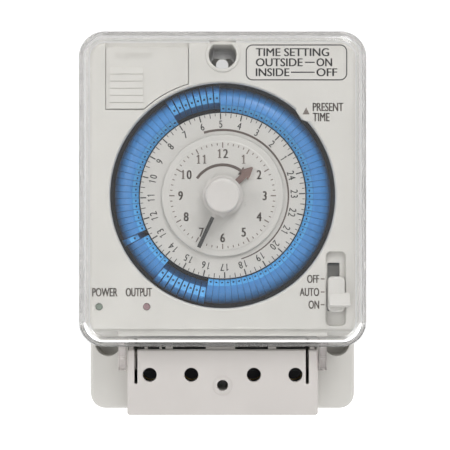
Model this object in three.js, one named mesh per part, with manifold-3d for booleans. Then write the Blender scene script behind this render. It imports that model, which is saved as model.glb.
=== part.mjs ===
// A 24-hour analogue time switch: a housing with a terminal block, a blue dial ring of small trippers that are
// set in or out for every quarter of an hour, a 12-hour clock in the middle of it, and a hinged clear cover.
// Every piece is drawn in the face frame: X right, Y up, Z out of the wall towards the user, in millimetres.
// The group is then turned so that +Z is up, the wall is the plane Y = 0 and the front looks along -Y.

import * as THREE from 'three';
import { mergeVertices } from 'three/addons/utils/BufferGeometryUtils.js';
import Module from 'manifold-3d';

const wasm = await Module();
wasm.setup();

// Driving dimensions, millimetres
const GAP = 0.3;                     // room between two separate pieces
const HOUSING = { halfWidth: 35.5, bottom: -50, top: 48.5, front: 26, wall: 2, back: 2.5, corner: 4 };
const CASE = { halfWidth: 34.2, bottom: -29, top: 46.6, front: 43, wall: 1.3, plate: 2.2, corner: 4 };
const COVER = { rimZ: 36.3, frontZ: 52, rimHalfWidth: 37.6, rimTop: 50, rimBottom: -32.3, wall: 1.5, corner: 6.5 };
const COVER_DRAFT = 0.105;           // each side leans in by this much for a millimetre of depth
const COVER_EDGE = 2.5;              // radius of the cover's front edge
const HINGE = { y: -36.8, z: 32, radius: 0.9, earInner: 25.4, earOuter: 27.2, postInner: 22.9, postOuter: 24.9 };
const DIAL_Y = 7.2;                  // height of the dial's centre
const OPENING_RADIUS = 29.2;
const POINTER_ANGLE = 45;            // clockwise from the top, degrees
const BORE = { y: 43.3, radius: 3.55, wall: 0.95, flatTop: 45.9 };
const KEYHOLE = { slotRadius: 1.75, slotTop: 44.6, entryRadius: 3.6, entryY: 36.8 };
const CASE_SCREWS = [[-7, 40.5], [7, 40.5], [-22.5, -26], [22.5, -26]];
const LEDS = { y: -21.3, powerX: -31.7, outputX: -19.5, radius: 0.9 };
const SELECTOR = { x: 29.2, y: -17.6, slotHalfWidth: 2.55, slotBottom: -26.4, slotTop: -7.2 };
const LID = { left: -29.9, right: -8.85, bottom: 29.4, top: 45.2, arcRadius: 30.3, back: 41.4 };
const BAYS = [-19.1, -8.2, 8.2, 19.1];       // centres of the four terminals
const SCREW_Y = -39.7;
const BAY_HALF = 2.9;
const FIXING = { y: -42.5, radius: 1.45, tubeRadius: 3.2 };
const TERMINAL_COVER = { halfWidth: 25, bottom: -50.3, top: -33.1, front: 36, wall: 1.6 };

// Trippers: their section in radius and height, with the notch that clips on the ring's bead; trippers that
// stay in are joined in banks, whose plainer section ends above the bead
const TRIPPERS = 96;
const TRIPPER_STEP = 360 / TRIPPERS;
const FIRST_TRIPPER = -1.5;          // angle of the joint line at five o'clock on the 24-hour scale
const TRIPPER_WIDTH = 3.1;           // degrees, leaving a narrow joint to the next one
const PIVOT = { radius: 24.4, z: 36 };
const SWING = 32.6;                  // degrees between the inner and the outer place
const TRIPPER_SECTION = [
  [21.7, 41.6], [22.6, 35.2], [23.3, 35.2], [23.3, 36.6], [24.4, 37.1], [25.5, 36.6],
  [25.5, 35.2], [27.0, 35.2], [28.2, 37.2], [26.2, 40.0], [23.5, 41.6],
];
const BANK_SECTION = [[21.7, 41.6], [22.4, 37], [28.2, 37], [26.2, 40.0], [23.5, 41.6]];

// Gear train: layers of the wheels above the movement plate, and the places of the side arbors
const LAYERS = { centre: 22.2, minute: 23.7, hour: 25.4, idler: 27.1, dial: 30.5 };
const WHEEL_THICK = 1.2;
const TRAIN = {
  motor: { angle: 150, distance: 10.8, wheel: 40, pinion: 8, module: 0.45 },
  transfer: { angle: 250, distance: 10.8, wheel: 36, pinion: 12, module: 0.45 },
  hour: { angle: 250, distance: 10.8, wheel: 36, pinion: 9, module: 0.48 },
  idler: { angle: 20, distance: 12, wheel: 24, pinion: 24, module: 0.5 },
  dial: { angle: 20, distance: 12, wheel: 32, pinion: 16, module: 0.5 },
};
const HOUR_HAND_ANGLE = 46.5;
const MINUTE_HAND_ANGLE = 204.8;

const radians = (degrees) => (degrees * Math.PI) / 180;

// A point at a clockwise angle from the top, about the dial's centre
function onDial(angle, radius) {
  return [radius * Math.sin(radians(angle)), DIAL_Y + radius * Math.cos(radians(angle))];
}

// Materials
const material = (color, roughness, metalness = 0) =>
  new THREE.MeshStandardMaterial({ color, roughness, metalness });
const greyPlastic = material(0xd6d4cf, 0.5);
const clearPlastic = material(0xe4e6e6, 0.12);
const bluePlastic = material(0x4b93d6, 0.4);
const whitePlastic = material(0xe4e2dc, 0.45);
const darkPlastic = material(0x2c2c30, 0.5);
const brownPaint = material(0x4a3a34, 0.5);
const cream = material(0xe9e4d4, 0.5);
const brass = material(0xc9a24f, 0.35, 1);
const steel = material(0xb9bbbf, 0.3, 1);
const greenBoard = material(0x2f6b46, 0.55);
const greenLens = material(0x9fb59c, 0.3);
const redLens = material(0xb0787a, 0.3);

// Solids: every helper returns a manifold solid, which the booleans join and cut
function solidOf(geometry) {
  geometry.deleteAttribute('normal');
  geometry.deleteAttribute('uv');
  const merged = mergeVertices(geometry, 1e-5);
  return new wasm.Manifold(new wasm.Mesh({
    numProp: 3,
    vertProperties: new Float32Array(merged.attributes.position.array),
    triVerts: new Uint32Array(merged.index.array),
  }));
}

function box(x0, x1, y0, y1, z0, z1) {
  const geometry = new THREE.BoxGeometry(x1 - x0, y1 - y0, z1 - z0);
  geometry.translate((x0 + x1) / 2, (y0 + y1) / 2, (z0 + z1) / 2);
  return solidOf(geometry);
}

function rod(x, y, radius, z0, z1, sides = 16) {
  const geometry = new THREE.CylinderGeometry(radius, radius, z1 - z0, sides);
  geometry.rotateX(Math.PI / 2);
  geometry.translate(x, y, (z0 + z1) / 2);
  return solidOf(geometry);
}

function crossRod(y, z, radius, x0, x1, sides = 16) {
  const geometry = new THREE.CylinderGeometry(radius, radius, Math.abs(x1 - x0), sides);
  geometry.rotateZ(Math.PI / 2);
  geometry.translate((x0 + x1) / 2, y, z);
  return solidOf(geometry);
}

function plate(shape, z0, z1, curveSegments = 5) {
  const geometry = new THREE.ExtrudeGeometry(shape, { depth: z1 - z0, bevelEnabled: false, curveSegments });
  geometry.translate(0, 0, z0);
  return solidOf(geometry);
}

function roundedRect(x0, x1, y0, y1, radius) {
  const shape = new THREE.Shape();
  shape.moveTo(x0 + radius, y0);
  shape.lineTo(x1 - radius, y0);
  shape.absarc(x1 - radius, y0 + radius, radius, -Math.PI / 2, 0, false);
  shape.lineTo(x1, y1 - radius);
  shape.absarc(x1 - radius, y1 - radius, radius, 0, Math.PI / 2, false);
  shape.lineTo(x0 + radius, y1);
  shape.absarc(x0 + radius, y1 - radius, radius, Math.PI / 2, Math.PI, false);
  shape.lineTo(x0, y0 + radius);
  shape.absarc(x0 + radius, y0 + radius, radius, Math.PI, 1.5 * Math.PI, false);
  return shape;
}

const tube = (x, y, inner, outer, z0, z1, sides = 20) =>
  rod(x, y, outer, z0, z1, sides).subtract(rod(x, y, inner, z0 - 1, z1 + 1, sides));

const together = (solids) => solids.reduce((sum, next) => sum.add(next));

// A skin through a stack of rings with equal numbers of points, closed by a fan on the first and the last ring
function ringStack(rings) {
  const count = rings[0].length;
  const positions = rings.flat(2);
  const faces = [];
  for (let row = 0; row + 1 < rings.length; row += 1) {
    for (let i = 0; i < count; i += 1) {
      const a = row * count + i;
      const b = row * count + ((i + 1) % count);
      faces.push(a, b, b + count, a, b + count, a + count);
    }
  }
  const last = (rings.length - 1) * count;
  for (let i = 1; i + 1 < count; i += 1) {
    faces.push(0, i + 1, i);
    faces.push(last, last + i, last + i + 1);
  }
  return new wasm.Manifold(new wasm.Mesh({
    numProp: 3,
    vertProperties: new Float32Array(positions),
    triVerts: new Uint32Array(faces),
  }));
}

// A closed section of [radius, z] points carried round the dial from one clockwise angle to another
function arcSolid(section, from, to, steps) {
  const rings = [];
  for (let step = 0; step <= steps; step += 1) {
    const angle = from + ((to - from) * step) / steps;
    rings.push(section.map(([radius, z]) => [...onDial(angle, radius), z]));
  }
  const count = section.length;
  const faces = [];
  for (let row = 0; row < steps; row += 1) {
    for (let i = 0; i < count; i += 1) {
      const a = row * count + i;
      const b = row * count + ((i + 1) % count);
      faces.push(a, b, b + count, a, b + count, a + count);
    }
  }
  const outline = section.map(([radius, z]) => new THREE.Vector2(radius, z));
  const last = steps * count;
  for (const [a, b, c] of THREE.ShapeUtils.triangulateShape(outline, [])) {
    faces.push(a, c, b);
    faces.push(last + a, last + b, last + c);
  }
  return new wasm.Manifold(new wasm.Mesh({
    numProp: 3,
    vertProperties: new Float32Array(rings.flat(2)),
    triVerts: new Uint32Array(faces),
  }));
}

// A closed section of [radius, z] points turned all the way round the dial's axis
function turned(section, sides) {
  const points = [...section, section[0]].map(([radius, z]) => new THREE.Vector2(radius, z));
  const geometry = new THREE.LatheGeometry(points, sides);
  geometry.rotateX(Math.PI / 2);
  geometry.translate(0, DIAL_Y, 0);
  return solidOf(geometry);
}

// A toothed wheel with slim pointed teeth; one tooth is centred on the clockwise angle `phase`
function wheel(x, y, teeth, module, phase, z0, thickness = WHEEL_THICK) {
  const pitch = (2 * Math.PI) / teeth;
  const pitchRadius = (teeth * module) / 2;
  const root = pitchRadius - 1.1 * module;
  const tip = pitchRadius + 0.75 * module;
  const corners = [[-0.28, root], [0, tip], [0.28, root]];
  const shape = new THREE.Shape();
  for (let tooth = 0; tooth < teeth; tooth += 1) {
    corners.forEach(([share, radius], index) => {
      const angle = radians(90 - phase) + pitch * (tooth + share);
      const px = x + radius * Math.cos(angle);
      const py = y + radius * Math.sin(angle);
      if (tooth === 0 && index === 0) shape.moveTo(px, py);
      else shape.lineTo(px, py);
    });
  }
  return plate(shape, z0, z0 + thickness);
}

const timer = new THREE.Group();
timer.rotation.x = Math.PI / 2;

function addPiece(name, solid, look) {
  const mesh = solid.getMesh();
  const geometry = new THREE.BufferGeometry();
  geometry.setAttribute('position', new THREE.BufferAttribute(mesh.vertProperties, 3));
  geometry.setIndex(new THREE.BufferAttribute(mesh.triVerts, 1));
  geometry.computeVertexNormals();
  const piece = new THREE.Mesh(geometry, look.clone());
  piece.name = name;
  timer.add(piece);
}

// Rear housing: an open tray with the terminal bay below, the keyhole boss above and screw bosses
function rearHousing() {
  const { halfWidth, bottom, top, front, wall, back, corner } = HOUSING;
  const bayFloor = 12;
  const bayTop = CASE.bottom - 2.7;
  let solid = plate(roundedRect(-halfWidth, halfWidth, bottom, top, corner), 0, front);
  const cavityShape = roundedRect(-halfWidth + wall, halfWidth - wall, CASE.bottom - 1, top - wall, 2.5);
  solid = solid.subtract(plate(cavityShape, back, front + 1));
  const bay = box(-25.3, 25.3, bottom - 1, bayTop, bayFloor, front + 1);
  const underBay = box(-23.5, 23.5, -48, -33.5, -1, bayFloor - 2.5)
    .subtract(rod(0, FIXING.y, FIXING.tubeRadius + 1, -2, bayFloor));
  solid = solid.subtract(bay).subtract(underBay);
  for (const side of [-1, 1]) {
    const inner = Math.min(side * 27.3, side * 33.5);
    solid = solid.subtract(box(inner, inner + 6.2, -48, -33.5, -1, 17.5));
    const scoop = rod(side * 30.7, COVER.rimBottom, 3.5, 20, front + 1, 24)
      .intersect(box(-40, 40, -40, bayTop - 0.2, 19, front + 2));
    solid = solid.subtract(scoop);
  }
  solid = solid.add(keyholeBoss()).subtract(keyholeSpace());
  for (const [x, y] of CASE_SCREWS) solid = solid.add(rod(x, y, 2.6, back - 0.5, front, 12));
  for (const [x, y] of CASE_SCREWS) {
    solid = solid.subtract(rod(x, y, 1.5, -1, front + 1, 8)).subtract(rod(x, y, 2.5, -1, 2.2, 12));
  }
  for (const [x, y] of [[-30, 12], [30, 12], [-30, -14], [30, -14]]) {
    solid = solid.add(rod(x, y, 1.6, back - 0.5, 5.2, 8));
  }
  solid = solid.add(rod(0, FIXING.y, FIXING.tubeRadius, bayFloor - 1, 33.8));
  solid = solid.subtract(rod(0, FIXING.y, FIXING.radius, -1, 35, 16));
  return solid.add(hingePost(-1)).add(hingePost(1));
}

function keyholeBoss() {
  const block = box(-6, 6, 31.5, HOUSING.top - 1, HOUSING.back - 0.5, 8);
  return block.add(rod(0, BORE.y, BORE.radius + BORE.wall, 7, HOUSING.front, 20));
}

function keyholeSpace() {
  const headRoom = box(-4.2, 4.2, 32.8, BORE.flatTop + 0.6, HOUSING.back, 6.5);
  const slot = together([
    rod(0, KEYHOLE.slotTop, KEYHOLE.slotRadius, -1, 4, 16),
    box(-KEYHOLE.slotRadius, KEYHOLE.slotRadius, KEYHOLE.entryY, KEYHOLE.slotTop, -1, 4),
    rod(0, KEYHOLE.entryY, KEYHOLE.entryRadius, -1, 4, 18),
  ]);
  const bore = rod(0, BORE.y, BORE.radius, 5, HOUSING.front + 1, 20)
    .intersect(box(-9, 9, 30, BORE.flatTop, 0, 40));
  return together([headRoom, slot, bore]);
}

function hingePost(side) {
  const x0 = Math.min(side * HINGE.postInner, side * HINGE.postOuter);
  const x1 = x0 + HINGE.postOuter - HINGE.postInner;
  const post = box(x0, x1, HINGE.y - 2, HINGE.y + 2, 11, HINGE.z)
    .add(crossRod(HINGE.y, HINGE.z, 2, x0, x1));
  return post.subtract(crossRod(HINGE.y, HINGE.z, HINGE.radius + GAP, x0 - 1, x1 + 1, 12));
}

// Front case: the panel round the dial, with a skirt back to the housing
function frontCase() {
  const { halfWidth, bottom, top, front, wall, plate: thick, corner } = CASE;
  const back = HOUSING.front + GAP;
  const outer = plate(roundedRect(-halfWidth, halfWidth, bottom, top, corner), back, front);
  const innerShape = roundedRect(-halfWidth + wall, halfWidth - wall, bottom + wall, top - wall, corner - wall);
  let solid = outer.subtract(plate(innerShape, back - 1, front - thick));
  const boreTube = rod(0, BORE.y, BORE.radius + BORE.wall, back, front - 1, 20).intersect(outer);
  solid = solid.add(boreTube).add(batteryTray());
  for (const [x, y] of CASE_SCREWS) solid = solid.add(rod(x, y, 2.4, back, front - 1, 12));
  for (const [x, y] of CASE_SCREWS) solid = solid.subtract(rod(x, y, 1.5, back - 1, 36, 8));
  solid = solid.subtract(rod(0, DIAL_Y, OPENING_RADIUS, front - thick - 1, front + 1, 56));
  solid = solid.subtract(rod(0, BORE.y, BORE.radius, back - 1, front + 1, 20)
    .intersect(box(-9, 9, 30, BORE.flatTop, 0, 50)));
  solid = solid.subtract(plate(lidOutline(GAP), front - thick - 0.5, front + 1, 12));
  for (const x of [LEDS.powerX, LEDS.outputX]) {
    solid = solid.subtract(rod(x, LEDS.y, LEDS.radius + GAP, front - thick - 1, front + 1, 14));
  }
  const { x, slotHalfWidth, slotBottom, slotTop } = SELECTOR;
  solid = solid.subtract(box(x - slotHalfWidth, x + slotHalfWidth, slotBottom, slotTop, front - 1.4, front + 1));
  solid = solid.subtract(box(x - 1.55, x + 1.55, -24, -11.2, front - thick - 1, front));
  return solid.add(pointerTooth());
}

// The lid's outline grown by a margin, with its lower right corner cut by an arc about the dial
function lidOutline(margin) {
  const left = LID.left - margin;
  const right = LID.right + margin;
  const bottom = LID.bottom - margin;
  const top = margin > 0 ? CASE.top + 1 : LID.top;
  const radius = LID.arcRadius - margin;
  const start = Math.asin((bottom - DIAL_Y) / radius);
  const end = Math.acos(-right / radius);
  const shape = new THREE.Shape();
  shape.moveTo(left, top);
  shape.lineTo(left, bottom);
  shape.absarc(0, DIAL_Y, radius, Math.PI - start, Math.PI - end, true);
  shape.lineTo(right, top);
  return shape;
}

function batteryTray() {
  const top = CASE.top - CASE.wall + 0.2;
  const outside = box(-30.2, -10.4, 35.9, top, 30.5, CASE.front - 1.8);
  return outside.subtract(box(-29.2, -11.4, 36.9, top - 1.2, 31.7, CASE.front));
}

function pointerTooth() {
  const [tipX, tipY] = onDial(POINTER_ANGLE, OPENING_RADIUS - 0.55);
  const [leftX, leftY] = onDial(POINTER_ANGLE - 4, OPENING_RADIUS + 1);
  const [rightX, rightY] = onDial(POINTER_ANGLE + 4, OPENING_RADIUS + 1);
  const shape = new THREE.Shape();
  shape.moveTo(leftX, leftY);
  shape.lineTo(tipX, tipY);
  shape.lineTo(rightX, rightY);
  return plate(shape, CASE.front - 1.4, CASE.front);
}

// Clear cover: a drafted tray with two ears whose trunnions turn in the housing's posts
function coverRing(z, inset) {
  const depth = z - COVER.rimZ;
  const lean = COVER_DRAFT * depth + inset;
  const halfWidth = COVER.rimHalfWidth - lean;
  const top = COVER.rimTop - lean;
  const bottom = COVER.rimBottom + lean;
  const outline = roundedRect(-halfWidth, halfWidth, bottom, top, COVER.corner - inset).getPoints(6);
  const unique = outline.filter((point, i) => i === 0 || point.distanceTo(outline[i - 1]) > 1e-4);
  if (unique[0].distanceTo(unique[unique.length - 1]) < 1e-4) unique.pop();
  return unique.map((point) => [point.x, point.y, z]);
}

function clearCover() {
  const { rimZ, frontZ, wall } = COVER;
  const edge = [0, 30, 60, 90].map((angle) => coverRing(
    frontZ - COVER_EDGE * (1 - Math.sin(radians(angle))),
    COVER_EDGE * (1 - Math.cos(radians(angle))),
  ));
  let solid = ringStack([
    coverRing(frontZ - wall, wall + 1), coverRing(frontZ - wall - 1, wall), coverRing(rimZ, wall),
    coverRing(rimZ, 0), ...edge,
  ]);
  for (const side of [-1, 1]) {
    const x0 = Math.min(side * HINGE.earInner, side * HINGE.earOuter);
    const x1 = x0 + HINGE.earOuter - HINGE.earInner;
    const ear = box(x0, x1, HINGE.y - 1.9, COVER.rimBottom + 1.2, HINGE.z - 1.9, COVER.rimZ + 1.2);
    const trunnion = crossRod(HINGE.y, HINGE.z, HINGE.radius, side * HINGE.earInner, side * (HINGE.postInner + 0.2));
    solid = solid.add(ear).add(trunnion);
  }
  const tongue = box(-3.5, 3.5, CASE.top + GAP, COVER.rimTop - 0.6, rimZ + 0.1, rimZ + 1.3);
  return solid.add(tongue);
}

// Terminal cover: a cap with screwdriver holes, two long slots and wire notches in its lower edge
function terminalCover() {
  const { halfWidth, bottom, top, front, wall } = TERMINAL_COVER;
  let solid = box(-halfWidth, halfWidth, bottom, top, front - wall, front);
  for (const side of [-1, 1]) {
    const x0 = side < 0 ? -halfWidth : halfWidth - 1.4;
    solid = solid.add(box(x0, x0 + 1.4, bottom, HINGE.y - 2.6, 13, front - 0.5));
  }
  solid = solid.add(box(-halfWidth, halfWidth, bottom, bottom + 1.4, 13, front - 0.5));
  for (const x of BAYS) {
    solid = solid.subtract(box(x - BAY_HALF, x + BAY_HALF, bottom - 1, bottom + 2, 12, 21));
    solid = solid.subtract(rod(x, SCREW_Y, 1.85, front - wall - 1, front + 1, 18));
  }
  solid = solid.subtract(rod(0, FIXING.y, FIXING.radius, front - wall - 1, front + 1, 20));
  for (const x of [-22.7, 22.2]) solid = solid.subtract(box(x - 0.45, x + 0.45, -42.1, top + 1, front - 3, front + 1));
  return solid;
}

// Terminal block: four bays with a wire tunnel from below and a round screw well in front
function terminalBlock() {
  let solid = box(-22.4, 22.4, -48.4, -33.4, 12 + GAP, 26);
  for (const x of BAYS) {
    solid = solid.subtract(box(x - BAY_HALF, x + BAY_HALF, -49, -35.8, 14, 24.3));
    solid = solid.subtract(rod(x, SCREW_Y, BAY_HALF, 20, 27, 16));
  }
  return solid.subtract(rod(0, FIXING.y, FIXING.tubeRadius + 0.4, 10, 28));
}

function terminalCage(x) {
  const cage = box(x - 2.6, x + 2.6, -44.2, -36.1, 14.3, 21.2);
  return cage.subtract(box(x - 1.8, x + 1.8, -45, -35, 15.3, 20)).subtract(rod(x, SCREW_Y, 1.7, 19, 22, 10));
}

function terminalScrew(x) {
  const screw = rod(x, SCREW_Y, 1.4, 19.2, 22, 10).add(rod(x, SCREW_Y, 2.55, 21.5, 23.8, 16));
  return screw.subtract(box(x - 3, x + 3, SCREW_Y - 0.35, SCREW_Y + 0.35, 23, 25));
}

function caseScrew([x, y]) {
  const screw = rod(x, y, 1.2, 1.5, 35, 10).add(rod(x, y, 2.2, 0.4, 1.9, 14));
  return screw.subtract(box(x - 2, x + 2, y - 0.3, y + 0.3, 0, 1)).subtract(box(x - 0.3, x + 0.3, y - 2, y + 2, 0, 1));
}

// Battery lid with its thumb ribs, the cell under it and the two contact strips
function batteryLid() {
  let solid = plate(lidOutline(0), LID.back, CASE.front, 12);
  for (let rib = 0; rib < 6; rib += 1) {
    const y = LID.bottom + 1 + rib * 1.83;
    solid = solid.add(box(LID.left + 0.8, -21.4, y, y + 1.2, CASE.front - 0.5, CASE.front + 0.25));
  }
  return solid;
}

function batteryCell() {
  return crossRod(40.6, 36, 3.4, -27.6, -13, 24).add(crossRod(40.6, 36, 1.2, -13.5, -12.4, 12));
}

const batteryContact = (x) => box(x, x + 0.5, 38, 43.2, 32.2, 39.5);

// Movement: a lower plate with four pillars, and a bridge that carries the fixed tube under the clock face
const PILLARS = [[-24, DIAL_Y + 18], [24, DIAL_Y + 18], [-24, DIAL_Y - 18], [24, DIAL_Y - 18]];

function movementPlate() {
  let solid = plate(roundedRect(-27, 27, DIAL_Y - 21, DIAL_Y + 21, 4), 20, 21.5);
  for (const [x, y] of PILLARS) solid = solid.add(rod(x, y, 1.8, 21, 28.5, 14));
  solid = solid.subtract(rod(0, DIAL_Y, 1.6, 19, 22, 16));
  for (const { angle, distance } of [TRAIN.transfer, TRAIN.idler]) {
    solid = solid.subtract(rod(...onDial(angle, distance), 1.2, 19, 22, 14));
  }
  return solid.subtract(rod(...onDial(TRAIN.motor.angle, TRAIN.motor.distance), 2.8, 19, 22, 18));
}

function dialBridge() {
  let solid = plate(roundedRect(-27, 27, DIAL_Y - 21, DIAL_Y + 21, 4), 28.8, 30);
  solid = solid.add(rod(0, DIAL_Y, 4.6, 29.5, 40.4, 24)).subtract(rod(0, DIAL_Y, 3, 28, 41, 24));
  for (const { angle, distance } of [TRAIN.transfer, TRAIN.idler]) {
    solid = solid.subtract(rod(...onDial(angle, distance), 1.2, 28, 31, 14));
  }
  return solid;
}

function clockFace() {
  return tube(0, DIAL_Y, 2.9, 15.7, 40.7, 41.4, 36);
}

// The 24-hour dial: scale plate, hub with its wheel, and the carrier ring with the tripper bead
const dialPlate = () => tube(0, DIAL_Y, 5.2, 21.4, 39.5, 40.3, 36);

function dialWheel() {
  const { angle, wheel: teeth, module } = TRAIN.dial;
  const solid = wheel(0, DIAL_Y, teeth, module, angle, LAYERS.dial).add(rod(0, DIAL_Y, 7, 31, 39.2, 24));
  return solid.subtract(rod(0, DIAL_Y, 5, 30, 40, 24));
}

function tripperRing() {
  const bead = [[24.7, 33.4], [25, 36], [24.4, 36.6], [23.8, 36], [24.1, 33.4]];
  return turned([[7.5, 32.2], [28, 32.2], [28, 33.4], ...bead, [7.5, 33.4]], 40);
}

const bank = (first, count) => arcSolid(
  BANK_SECTION,
  FIRST_TRIPPER + first * TRIPPER_STEP + 0.3,
  FIRST_TRIPPER + (first + count) * TRIPPER_STEP - 0.3,
  count,
);

// The section of a tripper that is set out: the inner section swung about the bead
const SET_OUT = TRIPPER_SECTION.map(([radius, z]) => {
  const across = radius - PIVOT.radius;
  const up = z - PIVOT.z;
  const turn = radians(SWING);
  return [
    PIVOT.radius + across * Math.cos(turn) + up * Math.sin(turn),
    PIVOT.z + up * Math.cos(turn) - across * Math.sin(turn),
  ];
});

function setOutTrippers(first, count) {
  const from = FIRST_TRIPPER + first * TRIPPER_STEP + (TRIPPER_STEP - TRIPPER_WIDTH) / 2;
  const to = from + (count - 1) * TRIPPER_STEP + TRIPPER_WIDTH;
  return arcSolid(SET_OUT, from, to, Math.max(1, count));
}

// Motion work on the centre arbor and beside it
function handPlate(angle, from, to, halfWidth, z0, z1) {
  const direction = [Math.sin(radians(angle)), Math.cos(radians(angle))];
  const place = (along, across) =>
    [along * direction[0] + across * direction[1], DIAL_Y + along * direction[1] - across * direction[0]];
  const shape = new THREE.Shape();
  shape.moveTo(...place(from, -halfWidth));
  shape.lineTo(...place(to - 2 * halfWidth, -halfWidth));
  shape.lineTo(...place(to, 0));
  shape.lineTo(...place(to - 2 * halfWidth, halfWidth));
  shape.lineTo(...place(from, halfWidth));
  return plate(shape, z0, z1);
}

function hourHand() {
  const { hour, idler } = TRAIN;
  const solid = together([
    wheel(0, DIAL_Y, hour.wheel, hour.module, hour.angle, LAYERS.hour),
    rod(0, DIAL_Y, 2.5, LAYERS.hour, 42.4, 20),
    wheel(0, DIAL_Y, idler.wheel, idler.module, idler.angle, LAYERS.idler),
    handPlate(HOUR_HAND_ANGLE, 1.7, 10.4, 0.9, 41.9, 42.4),
  ]);
  return solid.subtract(rod(0, DIAL_Y, 1.6, 20, 45, 20));
}

function minuteHand() {
  const { motor, transfer } = TRAIN;
  return together([
    wheel(0, DIAL_Y, motor.wheel, motor.module, motor.angle, LAYERS.centre, 1),
    wheel(0, DIAL_Y, transfer.pinion, transfer.module, transfer.angle, LAYERS.minute - 0.6, 1.8),
    rod(0, DIAL_Y, 1.2, 20.2, 43.5, 16),
    handPlate(MINUTE_HAND_ANGLE, 0, 14.6, 0.5, 43, 43.5),
  ]);
}

function transferWheel() {
  const { transfer, hour } = TRAIN;
  const [x, y] = onDial(transfer.angle, transfer.distance);
  const mesh = (teeth) => transfer.angle + 180 + 180 / teeth;
  return together([
    rod(x, y, 0.9, 20.2, 29.8, 14),
    wheel(x, y, transfer.wheel, transfer.module, mesh(transfer.wheel), LAYERS.minute),
    wheel(x, y, hour.pinion, hour.module, mesh(hour.pinion), LAYERS.hour - 0.7, 1.9),
  ]);
}

function idlerWheel() {
  const { idler, dial } = TRAIN;
  const [x, y] = onDial(idler.angle, idler.distance);
  const mesh = (teeth) => idler.angle + 180 + 180 / teeth;
  return together([
    rod(x, y, 0.9, 20.2, 31.7, 14),
    wheel(x, y, idler.pinion, idler.module, mesh(idler.pinion), LAYERS.idler),
    wheel(x, y, dial.pinion, dial.module, mesh(dial.pinion), LAYERS.dial),
  ]);
}

function motorPinion() {
  const { angle, distance, pinion, module } = TRAIN.motor;
  const [x, y] = onDial(angle, distance);
  return wheel(x, y, pinion, module, angle + 180 + 180 / pinion, LAYERS.centre, 1)
    .add(rod(x, y, 0.8, 17.5, LAYERS.centre + 0.5, 14));
}

function motorCan() {
  const [x, y] = onDial(TRAIN.motor.angle, TRAIN.motor.distance);
  return rod(x, y, 11, 8.2, 19.6, 36).subtract(rod(x, y, 1.2, 16.5, 20, 14));
}

// Circuit board and what stands on it
function circuitBoard() {
  let solid = box(-32.4, 32.4, -29.2, 45.2, 5.5, 7.1).subtract(box(-6.5, 6.5, 31, 46, 5, 8));
  for (const [x, y] of CASE_SCREWS) solid = solid.subtract(rod(x, y, 3, 5, 8, 16));
  return solid;
}

function lightPipe(x) {
  const pipe = rod(x, LEDS.y, LEDS.radius, 10.5, CASE.front + 0.2, 10);
  return pipe.add(rod(x, LEDS.y, 1.1, 7.4, 11, 10));
}

// Switch that the trippers work: body, plunger and the sensing lever beside the ring
const LEVER = { pivotAngle: 68, radius: 31, z0: 38.8, z1: 40.3 };

function microswitchBody() {
  return box(20, 31.5, 34.5, 43.5, 30.5, 40.2).subtract(box(20.9, 23.1, 33, 39.3, 36.4, 40.4));
}

const microswitchPlunger = () => box(21.2, 22.8, 31.5, 37.4, 36.8, 39.9);

function switchLever() {
  const [pivotX, pivotY] = onDial(LEVER.pivotAngle, LEVER.radius);
  const bar = arcSolid([[30.4, LEVER.z0], [31.6, LEVER.z0], [31.6, LEVER.z1], [30.4, LEVER.z1]], 40, 68, 7);
  const [noseX, noseY] = onDial(POINTER_ANGLE, 30.3);
  const nose = rod(noseX, noseY, 1.6, LEVER.z0, LEVER.z1, 20);
  const eye = rod(pivotX, pivotY, 1.7, LEVER.z0, LEVER.z1, 18);
  return together([bar, nose, eye]).subtract(rod(pivotX, pivotY, 0.9, 38, 41, 14));
}

const leverPin = () => rod(...onDial(LEVER.pivotAngle, LEVER.radius), 0.6, 30.3, 40.5, 12);

// Mode selector: thumb piece in front of the panel and the slide switch behind it
function selectorKnob() {
  const { x, y } = SELECTOR;
  return together([
    box(x - 1.15, x + 1.15, y - 2.3, y + 2.3, 39.9, 42.5),
    plate(roundedRect(x - 2.15, x + 2.15, y - 5, y + 4.1, 1.2), 41.9, 44.3, 4),
    box(x - 1.9, x + 3.2, y - 3.4, y - 0.4, 44, 47),
  ]);
}

const selectorSwitch = () => box(SELECTOR.x - 2.3, SELECTOR.x + 2.3, -24.5, -10.5, 30.3, 39.6);

function centreKnob() {
  return rod(0, DIAL_Y, 4.4, 43.8, 47, 32).add(rod(0, DIAL_Y, 3.9, 46.5, 47.5, 32));
}

addPiece('rear_housing', rearHousing(), greyPlastic);
addPiece('front_case', frontCase(), greyPlastic);
addPiece('clear_cover', clearCover(), clearPlastic);
addPiece('terminal_cover', terminalCover(), greyPlastic);
addPiece('terminal_block', terminalBlock(), darkPlastic);
BAYS.forEach((x, i) => addPiece(`terminal_cage_${i + 1}`, terminalCage(x), brass));
BAYS.forEach((x, i) => addPiece(`terminal_screw_${i + 1}`, terminalScrew(x), steel));
CASE_SCREWS.forEach((place, i) => addPiece(`case_screw_${i + 1}`, caseScrew(place), steel));
addPiece('battery_lid', batteryLid(), greyPlastic);
addPiece('battery_cell', batteryCell(), steel);
addPiece('battery_contact_left', batteryContact(-28.6), steel);
addPiece('battery_contact_right', batteryContact(-12.1), steel);
addPiece('circuit_board', circuitBoard(), greenBoard);
addPiece('relay', box(11, 27, 20, 34, 7.4, 19.4), darkPlastic);
addPiece('film_capacitor', plate(roundedRect(-15, 14, -28, -20, 1.5), 7.4, 17.4, 4), cream);
addPiece('power_light_pipe', lightPipe(LEDS.powerX), greenLens);
addPiece('output_light_pipe', lightPipe(LEDS.outputX), redLens);
addPiece('motor_can', motorCan(), steel);
addPiece('motor_pinion', motorPinion(), brass);
addPiece('movement_plate', movementPlate(), steel);
addPiece('dial_bridge', dialBridge(), whitePlastic);
addPiece('transfer_wheel', transferWheel(), whitePlastic);
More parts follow.
